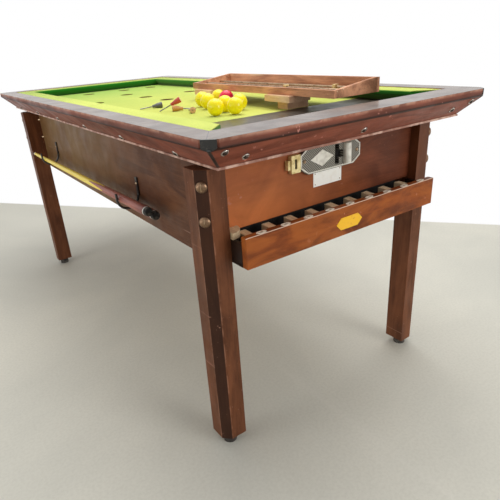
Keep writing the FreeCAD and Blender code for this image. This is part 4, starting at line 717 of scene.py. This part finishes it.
def ends_of(name):
    """A turned node's two ends on its own axis, the thicker one first."""
    points = np.unique(np.round([tuple(v.co) for v in nodes[name].data.vertices], 6), axis=0)
    middle = points.mean(0)
    along = (points - middle) @ np.linalg.svd(points - middle, full_matrices=False)[2][0]
    ends = []
    for place in (along.min(), along.max()):
        ring = points[abs(along - place) < 0.6 * MM]
        ends.append((np.linalg.norm(ring - ring.mean(0), axis=1).mean(), Vector(ring.mean(0))))
    ends.sort(key=lambda end: -end[0])
    return ends[0][1], ends[1][1]


def on_axis(start, end, axis="Z"):
    """The placement that puts a thing's own axis on the line from start to end."""
    return Matrix.Translation(start) @ (end - start).to_track_quat(axis, "Y").to_matrix().to_4x4()


def turned_piece(name, profile, material, slot, body, start, end, replaced=()):
    points, faces = lathe(profile)
    return make_piece(name, points, faces, material, slot, body, replaced, on_axis(start, end))


# ---------- Bed cloth and cushions

# The nine holes: places (across, along the bed) in millimetres, and one radius.
CUPS = [
    (0, 80), (0, 275), (-210, 275), (210, 275), (0, 480),
    (-90, 730), (90, 730), (-235, 730), (235, 730),
]
CUP_RADIUS, CUP_STEPS = 28 * MM, 48
# The share of the cloth's thickness that is turned down at a hole's rim.
TURNED_DOWN = 0.9


def bed_cloth():
    """The stretched cloth: one flat sheet, with each hole's edge turned down over its rim."""
    low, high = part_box("bed_cloth")
    top, rim = high.z, (high.z - low.z) * TURNED_DOWN
    sheet = bmesh.new()
    corners = [(low.x, low.y), (high.x, low.y), (high.x, high.y), (low.x, high.y)]
    loops = [[sheet.verts.new((x, y, top)) for x, y in corners]]
    for across, along_bed in CUPS:
        around = circle(CUP_RADIUS, CUP_STEPS)
        loops.append([sheet.verts.new((across * MM + x, along_bed * MM + y, top)) for x, y in around])
    edges = [sheet.edges.new(pair) for loop in loops for pair in closed(loop)]
    bmesh.ops.triangle_fill(sheet, edges=edges, use_beauty=True, use_dissolve=False)
    for ring in loops[1:]:
        lower = [sheet.verts.new((v.co.x, v.co.y, top - rim)) for v in ring]
        for corners in faces_between([ring, lower]):
            sheet.faces.new(corners)
    bmesh.ops.recalc_face_normals(sheet, faces=sheet.faces[:])
    sheet.verts.index_update()
    points = [tuple(v.co) for v in sheet.verts]
    faces = [[v.index for v in face.verts] for face in sheet.faces]
    sheet.free()
    green = cloth("bed_wool", (0.78, 0.78, 0.16), (0.26, 0.50, 0.06), bed_light_and_fading)
    piece = make_piece("bed_cloth_sheet", points, faces, green, "cloth", "cabinet", ["bed_cloth"])


# A cushion's section, from the rail: (depth, height above the cloth), millimetres.
CUSHION_SECTION = [
    (0, 0), (44, 0), (67, 19), (69, 22), (69, 28.5),
    (66.5, 31.6), (60, 32.8), (36, 33), (14, 32.6), (0, 32),
]
CUSHION_ROUNDING = 4
CUSHION_SPANS = 90
# The cover is drawn in by this share at a cushion's very end, and not at all this many spans in.
END_DRAWN_IN, END_SPANS = 0.035, 3


def swept_cushion(name, node, place, start_of, end_of, material):
    """Sweep the rounded section between two mitres; place turns (depth, run, height) into a point."""
    rounded_section = rounded(CUSHION_SECTION, CUSHION_ROUNDING, 4)
    section = [(depth * MM, height * MM) for depth, height in rounded_section]
    count = len(section)
    mid_depth, mid_height = (sum(sizes) / count for sizes in zip(*section))
    points = []
    for span in range(CUSHION_SPANS + 1):
        share = span / CUSHION_SPANS
        from_end = min(share, 1 - share) * CUSHION_SPANS
        inset = 1 - END_DRAWN_IN * max(0.0, 1 - from_end / END_SPANS) ** 2
        for depth, height in section:
            depth = mid_depth + (depth - mid_depth) * inset
            height = mid_height + (height - mid_height) * inset
            low, high = start_of(depth), end_of(depth)
            points.append(place(depth, low + (high - low) * share, height))
    rings = [list(range(first, first + count)) for first in range(0, len(points), count)]
    faces = faces_between(rings) + [rings[0][::-1], rings[-1]]
    piece = make_piece(name, points, faces, material, "cushion_cloth", "cabinet", [node])
    return piece


# How far a side cushion's open end runs back along the table, from the rail to the nose.
OPEN_MITRE = 66 * MM


def cushions():
    """Three covered cushions: mitred together at the far corners, and cut back at their open ends."""
    # Lit yellow for the cushion tops as painted light, and near black green for their faces as painted
    # shade.
    green = cloth("cushion_wool", (0.80, 0.86, 0.17), (0.015, 0.19, 0.012), cushion_light_and_shade, 0.8)
    cloth_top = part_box("bed_cloth")[1].z
    left_low, left_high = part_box("cushion_left")
    rear_low, rear_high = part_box("cushion_rear")
    mitre = OPEN_MITRE / (left_high.x - left_low.x)
    rail_face = abs(left_low.x)
    for side, sign in (("left", -1), ("right", 1)):
        swept_cushion(
            f"cushion_{side}_covered",
            f"cushion_{side}",
            lambda depth, run, height, sign=sign: (sign * (rail_face - depth), run, cloth_top + height),
            lambda depth: left_low.y + depth * mitre,
            lambda depth: left_high.y - depth,
            green,
        )
    swept_cushion(
        "cushion_rear_covered",
        "cushion_rear",
        lambda depth, run, height: (run, rear_high.y - depth, cloth_top + height),
        lambda depth: rear_low.x + depth,
        lambda depth: rear_high.x - depth,
        green,
    )


# ---------- Cues, skittles and bolts

CUES = ("cue_1", "cue_2")
CUE_BUTT_RADIUS, CUE_TIP_RADIUS, BUMPER_RADIUS = 14 * MM, 6 * MM, 13 * MM
BUMPER_LENGTH, RING_LENGTH, FERRULE_LENGTH = 14 * MM, 5 * MM, 12 * MM
# The splice's points lie between these two distances from the butt's end.
SPLICE_START, SPLICE_END = 330 * MM, 470 * MM


def cue_profiles(length):
    """The turned sections of a cue's four pieces: (radius, distance from the butt's end)."""
    butt, ferrule = BUMPER_LENGTH + RING_LENGTH, length - FERRULE_LENGTH
    bumper_side = [(BUMPER_RADIUS, BUMPER_LENGTH * 0.5), (BUMPER_RADIUS, BUMPER_LENGTH)]
    bumper = [(0, 0), (BUMPER_RADIUS - 1 * MM, 0), *bumper_side, (0, BUMPER_LENGTH)]
    ferrule_side = [(CUE_TIP_RADIUS, ferrule), (CUE_TIP_RADIUS * 0.97, length - 2 * MM)]
    tip = [(CUE_TIP_RADIUS * 0.55, length - 0.1 * MM), (0, length)]
    return {
        "bumper": rounded(bumper, 7 * MM, 6),
        "ring": [(0, BUMPER_LENGTH), (BUMPER_RADIUS, BUMPER_LENGTH), (BUMPER_RADIUS, butt), (0, butt)],
        "stick": [(0, butt), (CUE_BUTT_RADIUS, butt), (CUE_TIP_RADIUS, ferrule), (0, ferrule)],
        "ferrule": [(0, ferrule), *ferrule_side, *tip],
    }


def cues():
    """Each cue: a domed rubber bumper, a pale ring, a tapered spliced stick and a ferrule with its tip."""
    stick_wood = cue_wood("cue_varnish", SPLICE_START, SPLICE_END, BUMPER_LENGTH + RING_LENGTH)
    black = rubber("bumper_rubber", (0.02, 0.02, 0.02))
    ivory = paint("ivory_ring", (0.85, 0.83, 0.76), (0.6, 0.55, 0.45))
    materials = {"bumper": black, "ring": ivory, "stick": stick_wood, "ferrule": ivory}
    for name in CUES:
        start, end = ends_of(name)
        for part, profile in cue_profiles((end - start).length).items():
            turned_piece(f"{name}_{part}", profile, materials[part], "cue_wood", name, start, end, [name])


SKITTLE_PAINTS = {
    "skittle_1": ("grey_paint", (0.80, 0.42, 0.24), (0.10, 0.10, 0.10)),
    "skittle_2": ("red_paint", (0.84, 0.45, 0.26), (0.50, 0.06, 0.03)),
    "skittle_3": ("ochre_paint", (0.86, 0.46, 0.22), (0.62, 0.28, 0.06)),
    "skittle_4": ("natural_wood", (0.88, 0.50, 0.27), (0.55, 0.34, 0.2)),
}
# Turned section of the wooden part: (radius, distance from the face), millimetres.
SKITTLE_SECTION = [
    (0, 0), (8.6, 0), (9.4, 0.9), (9.2, 3), (7.6, 17),
    (5.6, 25), (5, 28), (4.9, 33.2), (4.2, 34), (0, 34),
]
PIN_START, PIN_RADIUS, PIN_POINT = 32 * MM, 1.75 * MM, 0.8 * MM


def skittles():
    """Turned pegs with a ringed face, on a thin steel pin."""
    steel = metal("pin_steel", (0.30, 0.29, 0.28), (0.08, 0.07, 0.06))
    peg = rounded([(radius * MM, distance * MM) for radius, distance in SKITTLE_SECTION], 1.2 * MM, 3)
    for name, (slot, face, body) in SKITTLE_PAINTS.items():
        start, end = ends_of(name)
        length = (end - start).length
        shank = [(0, PIN_START), (PIN_RADIUS, PIN_START), (PIN_RADIUS, length - PIN_POINT)]
        pin = [*shank, (PIN_RADIUS * 0.6, length), (0, length)]
        painted = skittle_paint(f"{name}_finish", face, body)
        turned_piece(f"{name}_peg", peg, painted, slot, name, start, end, [name])
        turned_piece(f"{name}_pin", pin, steel, "bolt_steel", name, start, end, [name])


LEG_BOLT_HEIGHTS = (738 * MM, 659 * MM)
BOLT_RADIUS, BOLT_DOME, DOME_STEPS = 13.2 * MM, 7.3 * MM, 10
SLOT_WIDTH, SLOT_DEPTH = 2.4 * MM, 2.2 * MM


def slotted_dome(name, start, outward, material):
    """A domed bolt head with a slot sawn across its crown, fitted over the plain packed head."""
    profile = [(0, BOLT_DOME)]
    for step in range(1, DOME_STEPS + 1):
        angle = math.pi / 2 * step / DOME_STEPS
        profile.append((BOLT_RADIUS * math.sin(angle), BOLT_DOME * math.cos(angle)))
    profile += [(BOLT_RADIUS * 0.94, 0), (0, 0)]
    points, faces = lathe(profile, 40)
    place = on_axis(start, start + outward)
    dome = make_piece(name, points, faces, material, "bolt_steel", "cabinet", place=place)
    cutter = placed(f"{name}_saw", saw_blade(f"{name}_saw"))
    cutter.matrix_world = dome.matrix_world
    apply_cut(dome, cutter)


def saw_blade(name):
    """The block that cuts a bolt's slot, standing on the slot's floor."""
    half, reach = SLOT_WIDTH / 2, BOLT_RADIUS
    outline = [(-half, -reach), (half, -reach), (half, reach), (-half, reach)]
    points = [(x, y, z) for z in (BOLT_DOME - SLOT_DEPTH, BOLT_DOME * 2) for x, y in outline]
    rings = [[0, 1, 2, 3], [4, 5, 6, 7]]
    saw = bpy.data.meshes.new(name)
    saw.from_pydata(points, [], [rings[0][::-1], rings[1], *faces_between(rings)])
    return saw


def apply_cut(piece, cutter):
    """Cut a piece with another mesh, keep the result in its own mesh, and remove the cutter."""
    cut = piece.modifiers.new("cut", "BOOLEAN")
    cut.object = cutter
    cut.solver = "EXACT"
    bpy.context.view_layer.update()
    result = bpy.data.meshes.new_from_object(piece.evaluated_get(bpy.context.evaluated_depsgraph_get()))
    piece.modifiers.remove(cut)
    piece.data = result
    bpy.data.objects.remove(cutter)


def leg_bolt_heads():
    """Two slotted heads on each leg's chamfer."""
    bronze = metal("bolt_bronze", (0.25, 0.155, 0.095), (0.15, 0.09, 0.056), 0.42, 0.01)
    for corner, (sign_x, sign_y) in CORNERS.items():
        low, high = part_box(f"leg_{corner}")
        outer = Vector((high.x if sign_x > 0 else low.x, high.y if sign_y > 0 else low.y, 0))
        outward = Vector((sign_x, sign_y, 0)).normalized()
        facet = outer - Vector((sign_x, sign_y, 0)) * LEG_CHAMFER / 2
        for row, height in enumerate(LEG_BOLT_HEIGHTS):
            start = Vector((facet.x, facet.y, height))
            slotted_dome(f"leg_bolt_head_{corner}_{row}", start, outward, bronze)


# The bolts of the rails' canted faces, in millimetres: place along the rail, and drop below the cap.
END_BOLTS = [(-397, 14), (-337, 34), (0, 33), (337, 30), (397, 14)]
SIDE_BOLTS = [(-743, 41), (-436, 41), (-135, 41), (161, 41), (451, 41), (746, 41)]
# Turned sections of a bolt's cup washer and domed head: (radius, height above the face), millimetres.
CUP_SECTION = [(0, -0.5), (8.4, -0.5), (8.4, 0.6), (7.6, 1.6), (6.4, 1.2), (0, 1.0)]
HEAD_SECTION = [(0, 0.8), (5.6, 0.8), (5.2, 2.6), (3.6, 4.0), (0, 4.6)]
# The face is looked for this far beside a bolt, clear of its recess, from this far out in metres.
BESIDE_BOLT, WELL_OUTSIDE = 13 * MM, 2


def bolt_axis(rail, outside, inward, aside):
    """Where a bolt stands on a rail's face, and a point straight out, found beside its recess."""
    piece = nodes[rail]
    world, local = piece.matrix_world, piece.matrix_world.inverted()
    _, place, normal, _ = piece.ray_cast(local @ (outside + aside), local.to_3x3() @ inward)
    start = world @ place - aside
    return start, start + (world.to_3x3() @ normal).normalized()


def canted_bolt_axes():
    """The axes of all the rails' bolts, from the face outwards."""
    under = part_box("rail_front")[1].z - CAP_THICKNESS
    bpy.context.view_layer.update()
    axes = []
    for rail, sign in (("rail_front", -1), ("rail_rear", 1)):
        for across, drop in END_BOLTS:
            outside = Vector((across * MM, sign * WELL_OUTSIDE, under - drop * MM))
            axes.append(bolt_axis(rail, outside, Vector((0, -sign, 0)), Vector((BESIDE_BOLT, 0, 0))))
    for rail, sign in (("rail_left", -1), ("rail_right", 1)):
        for along_rail, drop in SIDE_BOLTS:
            outside = Vector((sign * WELL_OUTSIDE, along_rail * MM, under - drop * MM))
            axes.append(bolt_axis(rail, outside, Vector((-sign, 0, 0)), Vector((0, BESIDE_BOLT, 0))))
    return axes


def repeated(section, axes):
    """One turned form on each of many axes, as the points and faces of a single mesh."""
    form_points, form_faces = lathe([(radius * MM, height * MM) for radius, height in section], 24)
    points, faces = [], []
    for start, end in axes:
        first, turn = len(points), on_axis(start, end)
        points += [tuple(turn @ Vector(point)) for point in form_points]
        faces += [[first + corner for corner in face] for face in form_faces]
    return points, faces


def rail_bolt_heads():
    """Dark domed heads in bright cup washers, over the recesses of the rails' bolts."""
    axes = canted_bolt_axes()
    bright = metal("cup_washer_steel", (0.72, 0.68, 0.62), (0.3, 0.24, 0.2), 0.3, 0.01)
    dark = metal("bolt_head_iron", (0.09, 0.07, 0.06), (0.03, 0.02, 0.016), 0.28, 0.01)
    make_piece("rail_cup_washers", *repeated(CUP_SECTION, axes), bright, "bolt_steel", "cabinet")
    make_piece("rail_bolt_domes", *repeated(HEAD_SECTION, axes), dark, "bolt_steel", "cabinet")


# ---------- Coin plate relief

PLATE_CLIP_X, PLATE_CLIP_Z = 25 * MM, 18 * MM
# The border's section across its width: (distance in from the first edge, height), millimetres.
BORDER_SECTION = [(0, 0), (0.5, 1.05), (1.6, 1.4), (2.7, 1.05), (3.2, 0)]
BORDER_INSET = 1.2 * MM


def octagon(low, high, inset):
    """The plate's clipped outline in (x, z), drawn in by inset on every side."""
    cx, cz = PLATE_CLIP_X - inset * 0.45, PLATE_CLIP_Z - inset * 0.45
    x0, x1, z0, z1 = low.x + inset, high.x - inset, low.z + inset, high.z - inset
    lower = [(x0, z0 + cz), (x0 + cx, z0), (x1 - cx, z0), (x1, z0 + cz)]
    upper = [(x1, z1 - cz), (x1 - cx, z1), (x0 + cx, z1), (x0, z1 - cz)]
    return lower + upper


def plate_border():
    """A raised, rounded border round the casting's edge."""
    low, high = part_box("coin_plate")
    ground = plate_face()
    points, rings = [], []
    for across, height in BORDER_SECTION:
        outline = octagon(low, high, BORDER_INSET + across * MM)
        rings.append(list(range(len(points), len(points) + len(outline))))
        points += [(x, ground - height * MM, z) for x, z in outline]
    faces = faces_between([*rings, rings[0]])
    make_piece("coin_plate_border", points, faces, plain_alloy("smooth_casting"), "cast_alloy", "cabinet")


# ---------- Floor, light and camera

# The wall meets the floor along a line: its normal, and its distance from the origin in metres.
WALL_NORMAL, WALL_DISTANCE = (0.796, 0.605), 1.058
FLOOR_HALF = 30.0
# How strongly the white world lights the object.
WORLD_LEVEL = 0.45
# Each lamp's place, the point it faces, its width in metres and its power in watts.
LAMPS = {
    "overhead": ((0.5, 0.2, 3.3), (0.0, 0.0, 0.8), 2.6, 78),
    "front_key": ((1.0, -4.0, 1.5), (0.0, -0.8, 0.6), 1.6, 46),
    "left_fill": ((-3.4, 0.2, 1.0), (-0.4, 0.0, 0.6), 1.6, 26),
}


def concrete():
    """Pale trowelled concrete with a painted reflection of a window in lighter streaks, up to the wall's
    line, and white beyond it.
    """
    look = Look("studio_floor")
    axes = look.axes()
    along_x = look.times(axes["X"], WALL_NORMAL[0])
    reach = look.calc("ADD", along_x, look.times(axes["Y"], WALL_NORMAL[1]))
    beyond = look.ramp(reach, WALL_DISTANCE - 0.01, WALL_DISTANCE + 0.01)
    clouds = look.ramp(look.noise(0.9, detail=6, warp=0.7), 0.3, 0.7)
    specks = look.ramp(look.noise(120, detail=4), 0.35, 0.7)
    colour = look.mix(clouds, (0.60, 0.59, 0.52), (0.71, 0.69, 0.60))
    colour = look.mix(look.times(specks, 0.18), colour, (0.44, 0.42, 0.35))
    # Painted reflection: lighter streaks of a window's light across the floor.
    streaks = look.ramp(look.noise(3, (1, 0.08, 1), detail=5, turn=(0, 0, 0.9)), 0.6, 0.75)
    colour = look.mix(look.times(streaks, 0.3), colour, (0.84, 0.81, 0.73))
    look.surface(colour=look.mix(beyond, colour, (0.93, 0.93, 0.93)), rough=0.6, specular=0.3)
    rays = look.add("LightPath").outputs
    seen = look.calc("MAXIMUM", rays["Is Camera Ray"], rays["Is Glossy Ray"])
    seen = look.calc("MAXIMUM", seen, rays["Is Transmission Ray"])
    white = look.add("Emission", {"Color": (1.0, 1.0, 1.0), "Strength": 1.0})
    shown = look.add("MixShader", {"Fac": look.times(seen, beyond)})
    look.feed(shown.inputs[1], look.shader.outputs["BSDF"])
    look.feed(shown.inputs[2], white.outputs["Emission"])
    output = look.material.node_tree.nodes["Material Output"]
    look.feed(output.inputs["Surface"], shown.outputs["Shader"])
    return look.material


def make_floor():
    mesh = bpy.data.meshes.new("floor")
    corners = [(-1, -1), (1, -1), (1, 1), (-1, 1)]
    mesh.from_pydata([(x * FLOOR_HALF, y * FLOOR_HALF, 0) for x, y in corners], [], [(0, 1, 2, 3)])
    mesh.materials.append(concrete())
    floor = placed("floor", mesh)


def make_world():
    """White where the camera, gloss or glass sees it, and a soft grey light on everything else."""
    world = bpy.data.worlds.new("studio")
    bpy.context.scene.world = world
    world.use_nodes = True
    tree = world.node_tree
    background = tree.nodes["Background"]
    rays = tree.nodes.new("ShaderNodeLightPath")
    seen = rays.outputs["Is Camera Ray"]
    for ray in ("Is Glossy Ray", "Is Transmission Ray"):
        either = tree.nodes.new("ShaderNodeMath")
        either.operation = "MAXIMUM"
        tree.links.new(seen, either.inputs[0])
        tree.links.new(rays.outputs[ray], either.inputs[1])
        seen = either.outputs[0]
    level = tree.nodes.new("ShaderNodeMapRange")
    level.inputs["To Min"].default_value = WORLD_LEVEL
    tree.links.new(seen, level.inputs["Value"])
    background.inputs["Color"].default_value = (1.0, 1.0, 1.0, 1.0)
    tree.links.new(level.outputs["Result"], background.inputs["Strength"])


def make_lamp(name, place, target, size, power):
    data = bpy.data.lights.new(name, "AREA")
    data.shape = "SQUARE"
    data.size = size
    data.energy = power
    lamp = placed(name, data)
    lamp.matrix_world = on_axis(Vector(place), Vector(target), "-Z")


# Camera: where it stands (metres), how it is turned (degrees), its lens and its shift.
CAMERA_PLACE = (-0.8687, -1.6860, 1.0157)
CAMERA_YAW, CAMERA_PITCH, CAMERA_ROLL = 33.769, 24.657, -3.947
CAMERA_LENS, CAMERA_SHIFT = 34.31, (0.0101, 0.0190)


def make_camera():
    yaw, pitch, roll = (math.radians(angle) for angle in (CAMERA_YAW, CAMERA_PITCH, CAMERA_ROLL))
    ahead = Vector((math.sin(yaw) * math.cos(pitch), math.cos(yaw) * math.cos(pitch), -math.sin(pitch)))
    level_right = Vector((math.cos(yaw), -math.sin(yaw), 0))
    level_up = level_right.cross(ahead)
    right = level_right * math.cos(roll) + level_up * math.sin(roll)
    up = level_up * math.cos(roll) - level_right * math.sin(roll)
    data = bpy.data.cameras.new("camera")
    data.lens = CAMERA_LENS
    data.shift_x, data.shift_y = CAMERA_SHIFT
    camera = placed("camera", data)
    turn = Matrix((right, up, -ahead)).transposed().to_4x4()
    camera.matrix_world = Matrix.Translation(CAMERA_PLACE) @ turn
    bpy.context.scene.camera = camera


# ---------- Put together

dress_timber()
dress_metalwork()
dress_small_parts()
bed_cloth()
cushions()
cues()
skittles()
leg_bolt_heads()
rail_bolt_heads()
plate_border()
make_floor()
make_world()
for lamp_name, settings in LAMPS.items():
    make_lamp(lamp_name, *settings)
make_camera()
bpy.context.scene.view_settings.view_transform = "Standard"
